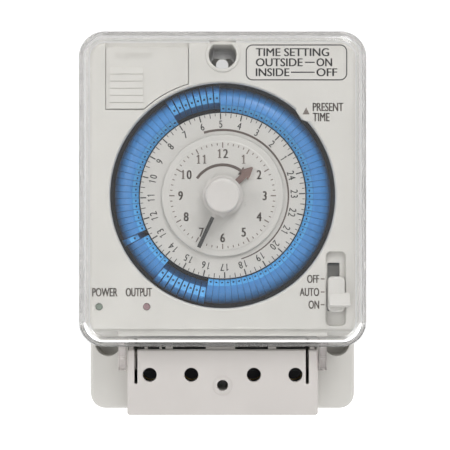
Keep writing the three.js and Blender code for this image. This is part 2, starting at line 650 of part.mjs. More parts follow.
addPiece('idler_wheel', idlerWheel(), whitePlastic);
addPiece('dial_wheel', dialWheel(), whitePlastic);
addPiece('dial_plate', dialPlate(), whitePlastic);
addPiece('tripper_ring', tripperRing(), bluePlastic);
addPiece('tripper_bank_long', bank(0, 51), bluePlastic);
addPiece('tripper_bank_short', bank(59, 6), bluePlastic);
addPiece('tripper_bank_middle', bank(66, 22), bluePlastic);
addPiece('tripper_bank_out', setOutTrippers(51, 8), bluePlastic);
addPiece('tripper_single', setOutTrippers(65, 1), bluePlastic);
for (let i = 0; i < 8; i += 1) addPiece(`tripper_${i + 1}`, setOutTrippers(88 + i, 1), bluePlastic);
addPiece('clock_face', clockFace(), whitePlastic);
addPiece('hour_hand', hourHand(), brownPaint);
addPiece('minute_hand', minuteHand(), darkPlastic);
addPiece('centre_knob', centreKnob(), whitePlastic);
addPiece('microswitch_body', microswitchBody(), darkPlastic);
addPiece('microswitch_plunger', microswitchPlunger(), redLens);
addPiece('switch_lever', switchLever(), whitePlastic);
addPiece('lever_pin', leverPin(), steel);
addPiece('selector_knob', selectorKnob(), whitePlastic);
addPiece('selector_switch', selectorSwitch(), darkPlastic);

export default timer;
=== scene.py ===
"""A 24-hour time switch for a wall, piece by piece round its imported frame, in the order of assembly."""
import math
from types import SimpleNamespace

import bmesh
import bpy
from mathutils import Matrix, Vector


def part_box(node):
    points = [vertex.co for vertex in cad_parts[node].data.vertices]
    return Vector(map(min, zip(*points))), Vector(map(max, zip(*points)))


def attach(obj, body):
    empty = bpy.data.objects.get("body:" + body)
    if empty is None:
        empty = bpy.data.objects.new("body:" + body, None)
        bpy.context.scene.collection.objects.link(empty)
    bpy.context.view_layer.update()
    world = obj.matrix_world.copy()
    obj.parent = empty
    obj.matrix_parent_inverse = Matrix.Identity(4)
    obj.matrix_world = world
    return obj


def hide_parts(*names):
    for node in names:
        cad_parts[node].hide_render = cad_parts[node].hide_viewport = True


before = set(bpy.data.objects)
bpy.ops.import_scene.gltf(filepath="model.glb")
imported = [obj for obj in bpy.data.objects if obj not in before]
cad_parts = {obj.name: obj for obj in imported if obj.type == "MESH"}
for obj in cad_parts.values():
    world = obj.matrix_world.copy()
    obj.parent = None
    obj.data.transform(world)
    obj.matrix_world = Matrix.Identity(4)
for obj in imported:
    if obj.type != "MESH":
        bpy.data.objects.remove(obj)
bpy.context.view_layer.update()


# ---------------------------------------------------------------------------------------------------------
# Rear housing: the tray that lies on the wall. It takes the upper fixing screw in a keyhole and holds the
# terminals in its foot. One injection moulding in light grey plastic with a fine sparked grain.
# Sizes on the face are in millimetres: x to the right, y up, z out of the wall.
# ---------------------------------------------------------------------------------------------------------
def face_box(node):
    """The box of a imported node, in face millimetres."""
    low, high = (corner * 1000 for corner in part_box(node))
    return SimpleNamespace(left=low.x, right=high.x, bottom=low.z, top=high.z, back=-high.y, front=-low.y)


def in_frame(point):
    """A face point, as a frame point in metres."""
    x, y, z = point
    return Vector((x, -z, y)) / 1000


def add_skin(form, rings, closed=False):
    """A closed skin through rings with equal numbers of points."""
    rows = [[form.verts.new(in_frame(point)) for point in ring] for ring in rings]
    count = len(rows[0])
    pairs = list(zip(rows, rows[1:]))
    if closed:
        pairs.append((rows[-1], rows[0]))
    faces = []
    for lower, upper in pairs:
        for i in range(count):
            j = (i + 1) % count
            faces.append(form.faces.new((lower[i], lower[j], upper[j], upper[i])))
    if not closed:
        faces.append(form.faces.new(rows[0][::-1]))
        faces.append(form.faces.new(rows[-1]))
    bmesh.ops.recalc_face_normals(form, faces=faces)


def made(form, name):
    """The form as an object."""
    mesh = bpy.data.meshes.new(name)
    form.to_mesh(mesh)
    form.free()
    piece = bpy.data.objects.new(name, mesh)
    bpy.context.scene.collection.objects.link(piece)
    return piece


def skin(name, rings, closed=False):
    form = bmesh.new()
    add_skin(form, rings, closed)
    return made(form, name)


def quarter_turn(steps=5):
    return [math.pi / 2 * step / steps for step in range(steps + 1)]


def rounded(box, corner, z, grow=0.0, steps=7):
    """A ring at height z: the rectangle (left, right, bottom, top) with round corners, grown all round."""
    smallest = 0.04
    left, right, bottom, top = box
    radius = max(corner + grow, smallest)
    inner = corner if corner + grow > smallest else smallest - grow
    corners = (
        (right - inner, top - inner, 0),
        (left + inner, top - inner, 1),
        (left + inner, bottom + inner, 2),
        (right - inner, bottom + inner, 3),
    )
    ring = []
    for x, y, quarter in corners:
        for turn in quarter_turn(steps):
            angle = turn + quarter * math.pi / 2
            ring.append((x + radius * math.cos(angle), y + radius * math.sin(angle), z))
    return ring


def disc(x, y, radius, z, steps=48, flat=None):
    """A ring at height z: a circle, cut straight across above flat where that is given."""
    ring = []
    for step in range(steps):
        angle = 2 * math.pi * step / steps
        height = y + radius * math.sin(angle)
        if flat is not None:
            height = min(height, flat)
        ring.append((x + radius * math.cos(angle), height, z))
    return ring


def shoulder(back, front, back_soft, front_soft, steps=5):
    """Growth and height up an outer wall whose edges are rounded at the back and at the front."""
    turns = quarter_turn(steps)
    low = [(back_soft * (math.sin(a) - 1), back + back_soft * (1 - math.cos(a))) for a in turns]
    high = [(front_soft * (math.cos(a) - 1), front - front_soft * (1 - math.sin(a))) for a in turns]
    return low + high


def lip(deep, face, soft, steps=4):
    """Growth and height up the wall of a hole, to its rounded edge at the face and a little past it."""
    out = 1 if face > deep else -1
    proud = 0.004 * out
    turns = quarter_turn(steps)
    edge = [(soft * (1 - math.cos(a)), face + proud - out * soft * (1 - math.sin(a))) for a in turns]
    return [(0, deep), *edge, (soft, face + out)]


def block(name, box, corner, back, front, back_soft=0.2, front_soft=0.2, steps=5):
    """A solid block with round corners and soft edges."""
    walls = shoulder(back, front, back_soft, front_soft, steps)
    return skin(name, [rounded(box, corner, z, grow, steps + 2) for grow, z in walls])


def well(box, corner, deep, face, soft=0.25):
    """A tool that cuts a straight-sided hole or pocket with a soft edge."""
    return skin("tool", [rounded(box, corner, z, grow) for grow, z in lip(deep, face, soft)])


def drill(x, y, radius, deep, face, soft=0.2, flat=None, steps=48):
    """A tool that drills a round hole with a soft edge."""
    walls = lip(deep, face, soft)
    raised = [flat + grow if flat is not None else None for grow, z in walls]
    rings = [disc(x, y, radius + grow, z, steps, top) for (grow, z), top in zip(walls, raised)]
    return skin("tool", rings)


def rod(x, y, radius, back, front, soft=0.15, steps=40):
    walls = shoulder(back, front, soft, soft, 3)
    return skin("rod", [disc(x, y, radius + grow, z, steps) for grow, z in walls])


def along_x(name, outline, left, right, soft=0.15):
    """A bar with one section of (y, z) points all along, drawn in a little at its two ends."""
    middle_y = sum(y for y, z in outline) / len(outline)
    middle_z = sum(z for y, z in outline) / len(outline)
    reach = max(math.hypot(y - middle_y, z - middle_z) for y, z in outline)
    rings = []
    for x, draw in ((left, soft), (left + soft, 0), (right - soft, 0), (right, soft)):
        share = 1 - draw / reach
        ring = []
        for y, z in outline:
            ring.append((x, middle_y + (y - middle_y) * share, middle_z + (z - middle_z) * share))
        rings.append(ring)
    return skin(name, rings)


def settle(piece):
    """Keeps the shape that the modifiers give."""
    bpy.context.view_layer.update()
    graph = bpy.context.evaluated_depsgraph_get()
    shape = bpy.data.meshes.new_from_object(piece.evaluated_get(graph), depsgraph=graph)
    shape.materials.clear()
    piece.modifiers.clear()
    piece.data = shape


def fit(piece, operation, tools):
    for tool in tools:
        step = piece.modifiers.new(operation, "BOOLEAN")
        step.operation = operation
        step.solver = "MANIFOLD"
        step.object = tool
    settle(piece)
    for tool in tools:
        bpy.data.objects.remove(tool)
    return piece


def cut(piece, *tools):
    return fit(piece, "DIFFERENCE", tools)


def join(piece, *others):
    return fit(piece, "UNION", others)


def smooth(piece, angle=32):
    """Round surfaces shade smoothly and flat ones stay flat."""
    for face in piece.data.polygons:
        face.use_smooth = True
    piece.data.set_sharp_from_angle(angle=math.radians(angle))
    level = piece.modifiers.new("even_shading", "WEIGHTED_NORMAL")
    level.keep_sharp = True
    level.weight = 70
    return piece


def noise(nodes, links, where, scale, detail=2.0):
    texture = nodes.new("ShaderNodeTexNoise")
    texture.inputs["Scale"].default_value = scale
    texture.inputs["Detail"].default_value = detail
    links.new(where, texture.inputs["Vector"])
    return texture.outputs["Fac"]


def spread(nodes, links, source, low, high):
    """Maps the middle of a noise to the range from low to high."""
    ramp = nodes.new("ShaderNodeMapRange")
    ramp.inputs["From Min"].default_value = 0.3
    ramp.inputs["From Max"].default_value = 0.7
    ramp.inputs["To Min"].default_value = low
    ramp.inputs["To Max"].default_value = high
    links.new(source, ramp.inputs["Value"])
    return ramp.outputs["Result"]


def moulded(name, colour, gloss, drift=0.03, grain=0.12, grain_scale=3500.0):
    """Moulded plastic whose tone and gloss drift faintly. The mould's sparked grain is a fine bump."""
    plastic = bpy.data.materials.new(name)
    plastic.use_nodes = True
    nodes, links = plastic.node_tree.nodes, plastic.node_tree.links
    shader = nodes["Principled BSDF"]
    where = nodes.new("ShaderNodeTexCoord").outputs["Object"]
    broad = noise(nodes, links, where, 70.0)
    tone = nodes.new("ShaderNodeMix")
    tone.data_type = "RGBA"
    links.new(spread(nodes, links, broad, 0.0, 1.0), tone.inputs["Factor"])
    tone.inputs[6].default_value = (*[c * (1 - drift) for c in colour], 1)
    tone.inputs[7].default_value = (*[min(1, c * (1 + drift)) for c in colour], 1)
    links.new(tone.outputs[2], shader.inputs["Base Color"])
    fine = noise(nodes, links, where, grain_scale, 3.0)
    links.new(spread(nodes, links, fine, gloss - 0.04, gloss + 0.04), shader.inputs["Roughness"])
    bump = nodes.new("ShaderNodeBump")
    bump.inputs["Strength"].default_value = grain
    bump.inputs["Distance"].default_value = 0.00003
    links.new(fine, bump.inputs["Height"])
    links.new(bump.outputs["Normal"], shader.inputs["Normal"])
    return plastic


def dress(piece, material, body, slot, *nodes):
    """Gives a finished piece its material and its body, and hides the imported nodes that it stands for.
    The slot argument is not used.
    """
    piece.data.materials.append(material)
    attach(piece, body)
    if nodes:
        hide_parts(*nodes)
    return piece


grey_plastic = moulded("grey_plastic", (0.66, 0.645, 0.61), 0.46)

TRAY = face_box("rear_housing")
TRAY_RIM = 26.0
TRAY_CORNER = 4.0
TRAY_BOX = (TRAY.left, TRAY.right, TRAY.bottom, TRAY.top)
TRAY_FLOOR = 2.5
MOVEMENT_ROOM = (-33.5, 33.5, -30.0, 46.5)
BAY_BOX = (-25.3, 25.3, TRAY.bottom - 3, -31.7)
BAY_FLOOR = 12.0
WIRE_POCKET = (-23.5, 23.5, -48.0, -33.5)
SIDE_POCKETS = ((-33.5, -27.3, -48.0, -33.5), (27.3, 33.5, -48.0, -33.5))
FINGER_X, FINGER_Y, FINGER_RADIUS = 30.7, -32.3, 3.5
BORE_Y = 43.3
BORE_RADIUS = 3.55
BORE_FLAT = 45.9
SCREW_PLACES = ((-7.0, 40.5), (7.0, 40.5), (-22.5, -26.0), (22.5, -26.0))
FIXING_Y = -42.5
FIXING_RADIUS = 1.45
HINGE_Y = -36.8
HINGE_Z = 32.0

housing = block("housing", TRAY_BOX, TRAY_CORNER, 0, TRAY_RIM, 0.5, 0.9)
cut(
    housing,
    well(MOVEMENT_ROOM, 2.5, TRAY_FLOOR, TRAY_RIM, 0.3),
    well(BAY_BOX, 0.5, BAY_FLOOR, TRAY_RIM, 0.25),
    well(WIRE_POCKET, 1.0, 9.5, 0, 0.3),
    *[well(pocket, 1.0, 17.5, 0, 0.3) for pocket in SIDE_POCKETS],
    *[drill(x, FINGER_Y, FINGER_RADIUS, 20.0, TRAY_RIM, 0.25, flat=-31.9) for x in (-FINGER_X, FINGER_X)],
)
join(
    housing,
    block("boss", (-6, 6, 31.5, 47.5), 1.0, 2.0, 8.0, 0.1, 0.3),
    rod(0, BORE_Y, 4.5, 7.0, TRAY_RIM, 0.2),
    rod(0, FIXING_Y, 3.2, 1.0, 33.8, 0.3),
    *[rod(x, y, 2.9, 2.0, TRAY_RIM, 0.2) for x, y in SCREW_PLACES],
)
POST_RADIUS = 2
POST_SIDES = ((-24.9, -22.9), (22.9, 24.9))
post = [(HINGE_Y - POST_RADIUS, 11.0), (HINGE_Y + POST_RADIUS, 11.0)]
for step in range(13):
    turn = math.pi * step / 12
    post.append((HINGE_Y + POST_RADIUS * math.cos(turn), HINGE_Z + POST_RADIUS * math.sin(turn)))
for left, right in POST_SIDES:
    join(housing, along_x("post", post, left, right))
cut(
    housing,
    block("tool", (-4.2, 4.2, 32.8, 46.4), 0.6, 2.5, 6.5, 0.1, 0.1),
    drill(0, BORE_Y, BORE_RADIUS, 5.0, TRAY_RIM + 0.5, 0.2, flat=BORE_FLAT),
    drill(0, 36.8, 3.6, 4.0, 0, 0.3),
    drill(0, FIXING_Y, FIXING_RADIUS, -1.0, 33.8, 0.25),
    *[drill(x, y, 2.6, 2.2, 0, 0.25) for x, y in SCREW_PLACES],
    *[rod(x, y, 1.5, -1.0, TRAY_RIM + 1) for x, y in SCREW_PLACES],
)
cut(housing, well((-1.75, 1.75, 36.8, 46.35), 1.7, 4.0, 0, 0.2))
dress(smooth(housing), grey_plastic, "case", "grey_plastic", "rear_housing")


# ---------------------------------------------------------------------------------------------------------
# Terminals: a block of dark plastic in the housing's foot, with a brass cage in each bay and a slotted
# steel clamp screw over it. The block drops in, the cages slide in from below and the screws hold them.
# ---------------------------------------------------------------------------------------------------------
def metal(name, colour, gloss, brush=0.05):
    """Plated or bare metal, with small uneven spots in its polish."""
    plate = bpy.data.materials.new(name)
    plate.use_nodes = True
    nodes, links = plate.node_tree.nodes, plate.node_tree.links
    shader = nodes["Principled BSDF"]
    where = nodes.new("ShaderNodeTexCoord").outputs["Object"]
    spots = noise(nodes, links, where, 900.0, 4.0)
    shader.inputs["Base Color"].default_value = (*colour, 1)
    shader.inputs["Metallic"].default_value = 1.0
    links.new(spread(nodes, links, spots, gloss - brush, gloss + brush), shader.inputs["Roughness"])
    bump = nodes.new("ShaderNodeBump")
    bump.inputs["Strength"].default_value = 0.1
    bump.inputs["Distance"].default_value = 0.00002
    links.new(spots, bump.inputs["Height"])
    links.new(bump.outputs["Normal"], shader.inputs["Normal"])
    return plate


def keep(names, material, soft=0.12):
    """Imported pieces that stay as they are, with their own finish and softened edges."""
    for name in names:
        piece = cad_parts[name]
        piece.data.materials.clear()
        piece.data.materials.append(material)
        weld = piece.modifiers.new("weld", "WELD")
        weld.merge_threshold = 0.000002
        bevel = piece.modifiers.new("soft_edges", "BEVEL")
        bevel.width = soft / 1000
        bevel.segments = 2
        bevel.limit_method = "ANGLE"
        bevel.angle_limit = math.radians(40)


black_plastic = moulded("black_plastic", (0.012, 0.012, 0.013), 0.5)
brass = metal("brass", (0.70, 0.49, 0.20), 0.33)
steel = metal("zinc_plated_steel", (0.60, 0.61, 0.62), 0.32)
# The clamp screws' near-black is partly their own dark finish and partly painted shade for the deep holes
# they sit in.
dark_steel_and_hole_shade = metal("dark_steel_and_painted_hole_shade", (0.10, 0.10, 0.105), 0.5)

keep(["terminal_block"], black_plastic, 0.2)
keep([f"terminal_cage_{i}" for i in (1, 2, 3, 4)], brass)
keep([f"terminal_screw_{i}" for i in (1, 2, 3, 4)], dark_steel_and_hole_shade)


# ---------------------------------------------------------------------------------------------------------
# Electrical parts: a green lacquered board on the housing's pips, with the relay in its black case and the
# film capacitor dipped in cream resin soldered to it.
# ---------------------------------------------------------------------------------------------------------
board_green = moulded("board_lacquer", (0.016, 0.13, 0.045), 0.3, 0.12, 0.25, 1200.0)
cream_resin = moulded("cream_resin", (0.72, 0.62, 0.42), 0.4)
keep(["circuit_board"], board_green, 0.08)
keep(["relay"], black_plastic, 0.4)
keep(["film_capacitor"], cream_resin, 1.0)


# ---------------------------------------------------------------------------------------------------------
# Movement: a motor can under a steel plate drives the hands and the 24-hour dial through moulded wheels.
# A bridge of white plastic over the wheels carries the fixed tube on which the clock face is pressed.
# ---------------------------------------------------------------------------------------------------------
gear_plastic = moulded("natural_acetal", (0.78, 0.77, 0.73), 0.38)
keep(["motor_can", "movement_plate"], steel, 0.2)
keep(["motor_pinion"], brass, 0.05)
keep(["transfer_wheel", "idler_wheel", "dial_wheel"], gear_plastic, 0.05)
keep(["dial_bridge"], gear_plastic, 0.15)


# ---------------------------------------------------------------------------------------------------------
# Switch: a small black microswitch with a red plunger, and the white lever that feels for trippers set out.
# The lever swings on a steel pin beside the ring.
# ---------------------------------------------------------------------------------------------------------
red_plastic = moulded("red_plastic", (0.45, 0.02, 0.02), 0.4)
keep(["microswitch_body"], black_plastic, 0.2)
keep(["microswitch_plunger"], red_plastic, 0.2)
keep(["switch_lever"], gear_plastic, 0.15)
keep(["lever_pin"], steel, 0.1)


# ---------------------------------------------------------------------------------------------------------
# Front case: the panel round the dial, with a skirt back to the housing and a thin lip inside it. It is
# moulded in the same light grey plastic, and the four screws in the housing's back hold it. Its holes are
# for the dial, the upper screw, the battery lid, two lights and the mode selector.
# ---------------------------------------------------------------------------------------------------------
def on_dial(angle, radius):
    """The place at a clockwise angle from the top, about the dial's centre."""
    turn = math.radians(angle)
    return radius * math.sin(turn), DIAL_Y + radius * math.cos(turn)


def lid_ring(grow, z, top):
    """The battery lid's outline: a rectangle whose lower right corner is cut by an arc about the dial."""
    left, right, bottom = LID.left - grow, LID.right + grow, LID.bottom - grow
    radius = LID_ARC - grow
    start = math.degrees(math.asin((bottom - DIAL_Y) / radius)) - 90
    end = math.degrees(math.asin(right / radius))
    ring = [(left, top, z), (left, bottom, z)]
    for step in range(17):
        ring.append((*on_dial(start + (end - start) * step / 16, radius), z))
    ring.append((right, top, z))
    return ring


CASE = face_box("front_case")
CASE_BOX = (CASE.left, CASE.right, CASE.bottom, CASE.top)
FACE = CASE.front
CASE_CORNER = 4.0
CASE_WALL = 1.3
LIP_BACK = TRAY_RIM - 1.0
LIP_INNER, LIP_OUTER = 32.4, 33.2
PANEL_BACK = 40.8
DIAL = face_box("dial_plate")
DIAL_Y = (DIAL.bottom + DIAL.top) / 2
OPENING_RADIUS = 29.0
OPENING_LIP = 0.6
POINTER_ANGLE = 44.7
LID = face_box("battery_lid")
LID_ARC = 30.05
LID_GAP = 0.16
LIGHT_Y = -21.3
LIGHT_XS = (-31.7, -19.5)
SLOT_BOX = (26.5, 31.55, -26.2, -7.15)
SLOT_FLOOR = 41.7
STEM_SLOT = (26.95, 30.1, -22.5, -10.05)
CELL_TRAY = (-30.2, -10.4, 35.9, 45.4)
CELL_ROOM = (-29.2, -11.4, 36.9, 44.0)
CELL_FLOOR = 31.7
STEP_Y = -27.0
STEP_Z = 42.1
RIM_RISE = 0.28

panel = block("front_panel", CASE_BOX, CASE_CORNER, CASE.back, FACE, 0.2, 1.0)
inner_box = (CASE.left + CASE_WALL, CASE.right - CASE_WALL, CASE.bottom + CASE_WALL, CASE.top - CASE_WALL)
cut(panel, block("tool", inner_box, CASE_CORNER - CASE_WALL, CASE.back - 1, PANEL_BACK, 0.1, 0.3))
rim_profile = shoulder(FACE - 1, FACE + RIM_RISE, 0.1, 0.25)
join(
    panel,
    rod(0, BORE_Y, BORE_RADIUS + 0.95, CASE.back, FACE - 0.5, 0.1),
    skin("rim", [disc(0, BORE_Y, 4.45 + grow, z, 64, BORE_FLAT + 0.35) for grow, z in rim_profile]),
    block("tray", CELL_TRAY, 0.5, CELL_FLOOR - 1.2, FACE - 1.8, 0.2, 0.1),
    *[rod(x, y, 2.4, CASE.back, FACE - 1, 0.1) for x, y in SCREW_PLACES],
    block("lip", (-LIP_OUTER, -LIP_INNER, -23.0, 41.0), 0.1, LIP_BACK, CASE.back + 2, 0.1, 0.05),
    block("lip", (LIP_INNER, LIP_OUTER, -23.0, 41.0), 0.1, LIP_BACK, CASE.back + 2, 0.1, 0.05),
)
opening_walls = lip(36, FACE, OPENING_LIP, 6)
lid_bed_walls = lip(LID.back - 0.05, FACE, 0.12)
cut(
    panel,
    skin("tool", [disc(0, DIAL_Y, OPENING_RADIUS + grow, z, 180) for grow, z in opening_walls]),
    drill(0, BORE_Y, BORE_RADIUS, CASE.back - 1, FACE + RIM_RISE, 0.22, flat=BORE_FLAT),
    skin("tool", [lid_ring(LID_GAP + grow, z, CASE.top + 1) for grow, z in lid_bed_walls]),
    well(CELL_ROOM, 0.5, CELL_FLOOR, FACE, 0.1),
    well(SLOT_BOX, 1.25, SLOT_FLOOR, FACE, 0.18),
    *[drill(x, LIGHT_Y, 0.95, PANEL_BACK - 1, FACE, 0.1, steps=32) for x in LIGHT_XS],
    *[rod(x, y, 1.5, CASE.back - 1, 36, 0.1) for x, y in SCREW_PLACES],
)
NOTCH_INNER = 26.9
notch = [(STEP_Y, FACE + 0.5), (-29.6, 38.3), (-33.0, 38.3), (-33.0, FACE + 0.5)]
notches = [along_x("tool", notch, -40.0, -NOTCH_INNER, 0.0), along_x("tool", notch, NOTCH_INNER, 40.0, 0.0)]
cut(
    panel,
    well(STEM_SLOT, 0.3, PANEL_BACK - 1, SLOT_FLOOR, 0.08),
    block("tool", (-40, 40, -32, STEP_Y), 0.1, STEP_Z, FACE + 2, 0.05, 0.05),
    *notches,
)
TOOTH_ROOT, TOOTH_FOOT, TOOTH_TIP = OPENING_RADIUS + 1.2, OPENING_RADIUS - 0.1, 28.15
tooth = []
for z, draw in ((41.5, 0.1), (41.6, 0), (FACE - 0.15, 0), (FACE - 0.02, 0.12)):
    corners = [(4.2, TOOTH_ROOT), (4.1, TOOTH_FOOT), (1.2, TOOTH_TIP + draw)]
    corners += [(-4.1, TOOTH_FOOT), (-4.2, TOOTH_ROOT)]
    tooth.append([(*on_dial(POINTER_ANGLE + aside, radius), z) for aside, radius in corners])
join(panel, skin("tooth", tooth))
dress(smooth(panel), grey_plastic, "case", "grey_plastic", "front_case")


# ---------------------------------------------------------------------------------------------------------
# Printing on the panel: pad-printed ink, black for the instruction box and warm grey for the other words.
# Raised terminal numbers stand on the step along the panel's lower edge, in the panel's own plastic.
# ---------------------------------------------------------------------------------------------------------
def add_prism(form, outline, low, high):
    add_skin(form, [[(x, y, z) for x, y in outline] for z in (low, high)])


def add_bar(form, start, end, width, low, high):
    """A straight bar from start to end on the face."""
    run = Vector(end) - Vector(start)
    across = Vector((-run.y, run.x)).normalized() * width / 2
    corners = [Vector(start) + across, Vector(start) - across, Vector(end) - across, Vector(end) + across]
    add_prism(form, [tuple(corner) for corner in corners], low, high)


def add_lettering(
    form, words, place, height, low, high, width=None, squeeze=1.0, weight=0.0, side=0.5, turn=0.0
):
    """Words as tall as height, thickened by weight. side puts the place at their left, middle or right."""
    curve = bpy.data.curves.new("lettering", "FONT")
    curve.body = words
    curve.extrude = 0.5
    curve.resolution_u = 4
    sample = bpy.data.objects.new("lettering", curve)
    bpy.context.scene.collection.objects.link(sample)
    bpy.context.view_layer.update()
    graph = bpy.context.evaluated_depsgraph_get()
    mesh = bpy.data.meshes.new_from_object(sample.evaluated_get(graph), depsgraph=graph)
    bpy.data.objects.remove(sample)
    xs = [vertex.co.x for vertex in mesh.vertices]
    ys = [vertex.co.y for vertex in mesh.vertices]
    tall = height / (max(ys) - min(ys))
    wide = width / (max(xs) - min(xs)) if width else tall * squeeze
    start = min(xs) + side * (max(xs) - min(xs))
    middle = (min(ys) + max(ys)) / 2
    cosine, sine = math.cos(math.radians(turn)), math.sin(math.radians(turn))
    spots = []
    for vertex in mesh.vertices:
        level = high if vertex.co.z > 0 else low
        spots.append(((vertex.co.x - start) * wide, (vertex.co.y - middle) * tall, level))
    for shift in (-weight, 0.0, weight) if weight else (0.0,):
        for vertex, (along, up, z) in zip(mesh.vertices, spots):
            x = place[0] + (along + shift) * cosine + up * sine
            y = place[1] - (along + shift) * sine + up * cosine
            vertex.co = in_frame((x, y, z))
        form.from_mesh(mesh)
    bpy.data.meshes.remove(mesh)


def ink(name, colour, gloss=0.45):
    return moulded(name, colour, gloss, 0.10, 0.05, 2500.0)


INK_ROOT, INK_RISE = 0.05, 0.025


def printed(surface):
    """The lowest and highest level of print on a surface."""
    return surface - INK_ROOT, surface + INK_RISE


PANEL_PRINT = printed(FACE)
BAY_XS = (-19.1, -8.2, 8.2, 19.1)
black_ink = ink("black_ink", (0.032, 0.030, 0.029))
grey_ink = ink("warm_grey_ink", (0.19, 0.155, 0.135))
LABEL_BOX = (5.9, 31.95, 36.75, 46.0)
LABEL_CORNER = 1.8
LABEL_LINE = 0.3

outer_ring = rounded(LABEL_BOX, LABEL_CORNER, PANEL_PRINT[0])
inner_ring = rounded(LABEL_BOX, LABEL_CORNER, PANEL_PRINT[0], -LABEL_LINE)
raised = [[(x, y, PANEL_PRINT[1]) for x, y, z in ring] for ring in (inner_ring, outer_ring)]
form = bmesh.new()
add_skin(form, [outer_ring, inner_ring, *raised], closed=True)
for words, place, width in (
    ("TIME SETTING", (8.55, 44.0), 18.7),
    ("OUTSIDE", (8.55, 41.4), 11.9),
    ("INSIDE", (8.55, 38.85), 8.5),
    ("ON", (24.1, 41.4), 3.9),
    ("OFF", (24.1, 38.85), 5.2),
):
    add_lettering(form, words, place, 2.05, *PANEL_PRINT, width=width, weight=0.07, side=0.0)
for start, y in ((21.1, 41.4), (17.5, 38.85)):
    add_bar(form, (start, y), (23.6, y), 0.3, *PANEL_PRINT)
dress(made(form, "instruction_box"), black_ink, "case", "dark_plastic")

form = bmesh.new()
for words, y, width in (("PRESENT", 29.95, 7.75), ("TIME", 27.35, 4.2)):
    add_lettering(form, words, (23.15, y), 2.15, *PANEL_PRINT, width=width, weight=0.07, side=0.0)
for words, x, width in (("POWER", -30.2, 6.4), ("OUTPUT", -21.5, 6.6)):
    add_lettering(form, words, (x, -17.55), 2.2, *PANEL_PRINT, width=width, weight=0.07)
for words, y, width in (("OFF", -14.15, 3.0), ("AUTO", -17.5, 4.9), ("ON", -20.75, 2.65)):
    add_lettering(form, words, (24.7, y), 2.1, *PANEL_PRINT, width=width, weight=0.06, side=1.0)
    add_bar(form, (25.15, y), (26.15, y), 0.3, *PANEL_PRINT)
add_prism(form, ((20.5, 28.05), (22.3, 28.05), (21.4, 29.85)), *PANEL_PRINT)
dress(made(form, "panel_words"), grey_ink, "case", "brown_paint")

form = bmesh.new()
for number, x in enumerate(BAY_XS, 1):
    add_lettering(form, str(number), (x, -28.05), 1.35, STEP_Z - 0.1, STEP_Z + 0.12, squeeze=1.1)
dress(made(form, "terminal_numbers"), grey_plastic, "case", "grey_plastic")


# ---------------------------------------------------------------------------------------------------------
# Signal lights: two solid rods of tinted acrylic that bring the light of the diodes from the board to the
# panel. Green shows the supply and red the output. They clip into the board and end in a low dome.
# ---------------------------------------------------------------------------------------------------------
LIGHT_RADIUS = 0.88
for node, x, name, colour in (
    ("power_light_pipe", LIGHT_XS[0], "power_light", (0.18, 0.22, 0.178)),
    ("output_light_pipe", LIGHT_XS[1], "output_light", (0.28, 0.18, 0.19)),
):
    pipe = face_box(node)
    profile = [(1.1, pipe.back), (1.1, 10.8), (LIGHT_RADIUS, 11.0), (LIGHT_RADIUS, FACE - 0.05)]
    for turn in quarter_turn(5)[1:-1]:
        profile.append((LIGHT_RADIUS * math.cos(turn), FACE - 0.05 + 0.25 * math.sin(turn)))
    rings = [disc(x, LIGHT_Y, radius, z, 32) for radius, z in profile]
    light = smooth(skin(name, rings), 40)
    tint = moulded(name + "_acrylic", colour, 0.25, 0.05, 0.03)
    dress(light, tint, "case", "green_lens" if name == "power_light" else "red_lens", node)


# ---------------------------------------------------------------------------------------------------------
# Mode selector: an ivory thumb piece that slides in its slot, over the slide switch on the board. It has a
# flat body and a wedge to push with, and clips to the switch by a stem through the slot.
# ---------------------------------------------------------------------------------------------------------
SELECTOR = face_box("selector_knob")
ivory_plastic = moulded("ivory_plastic", (0.67, 0.655, 0.625), 0.4)
switch_grey = moulded("switch_grey", (0.28, 0.275, 0.255), 0.5)
BODY_BOX = (26.95, 31.25, -22.6, -13.5)
knob = block("selector_thumb_piece", BODY_BOX, 1.3, 41.9, 44.3, 0.15, 0.5)
ridge = [(-17.6, 44.0), (-18.2, 44.6), (-20.35, 46.75)]
for turn in quarter_turn(3):
    ridge.append((-20.55 - 0.35 * math.sin(turn), 46.6 + 0.35 * math.cos(turn)))
ridge += [(-21.25, 44.6), (-21.4, 44.0)]
join(
    knob,
    along_x("wedge", ridge, 27.2, SELECTOR.right, 0.25),
    block("stem", (28.05, 29.95, -19.0, -15.7), 0.3, SELECTOR.back, 42.5, 0.1, 0.1),
)
dress(smooth(knob), ivory_plastic, "selector", "white_plastic", "selector_knob")
keep(["selector_switch"], switch_grey, 0.3)


# ---------------------------------------------------------------------------------------------------------
# Carrier ring: the wheel's outer part, a dark moulding with a round bead that the trippers snap on and
# swing about. It is pushed on the dial's hub.
# ---------------------------------------------------------------------------------------------------------
# The ring's near-black is partly its own colour and partly painted shade that keeps the gaps between and
# round the trippers dark.
navy_plastic_and_gap_shade = moulded("navy_plastic_and_gap_shade", (0.006, 0.010, 0.022), 0.45)
RING = face_box("tripper_ring")
RING_TOP = 33.4
PIVOT_RADIUS = 24.4
PIVOT_Z = 36.0
RING_RADIUS = 29.7
profile = [(7.5, RING.back), (RING_RADIUS - 0.1, RING.back), (RING_RADIUS, RING.back + 0.15)]
profile += [(RING_RADIUS, RING_TOP - 0.15), (RING_RADIUS - 0.15, RING_TOP)]
profile += [(24.72, RING_TOP), (24.8, 35.4)]
for step in range(7):
    turn = math.radians(-10 + 200 * step / 6)
    profile.append((PIVOT_RADIUS + 0.55 * math.cos(turn), PIVOT_Z + 0.5 * math.sin(turn)))
profile += [(24.0, 35.4), (24.08, RING_TOP), (7.5, RING_TOP)]
carrier = skin("carrier_ring", [disc(0, DIAL_Y, radius, z, 144) for radius, z in profile], closed=True)
dress(smooth(carrier), navy_plastic_and_gap_shade, "dial", "blue_plastic", "tripper_ring")


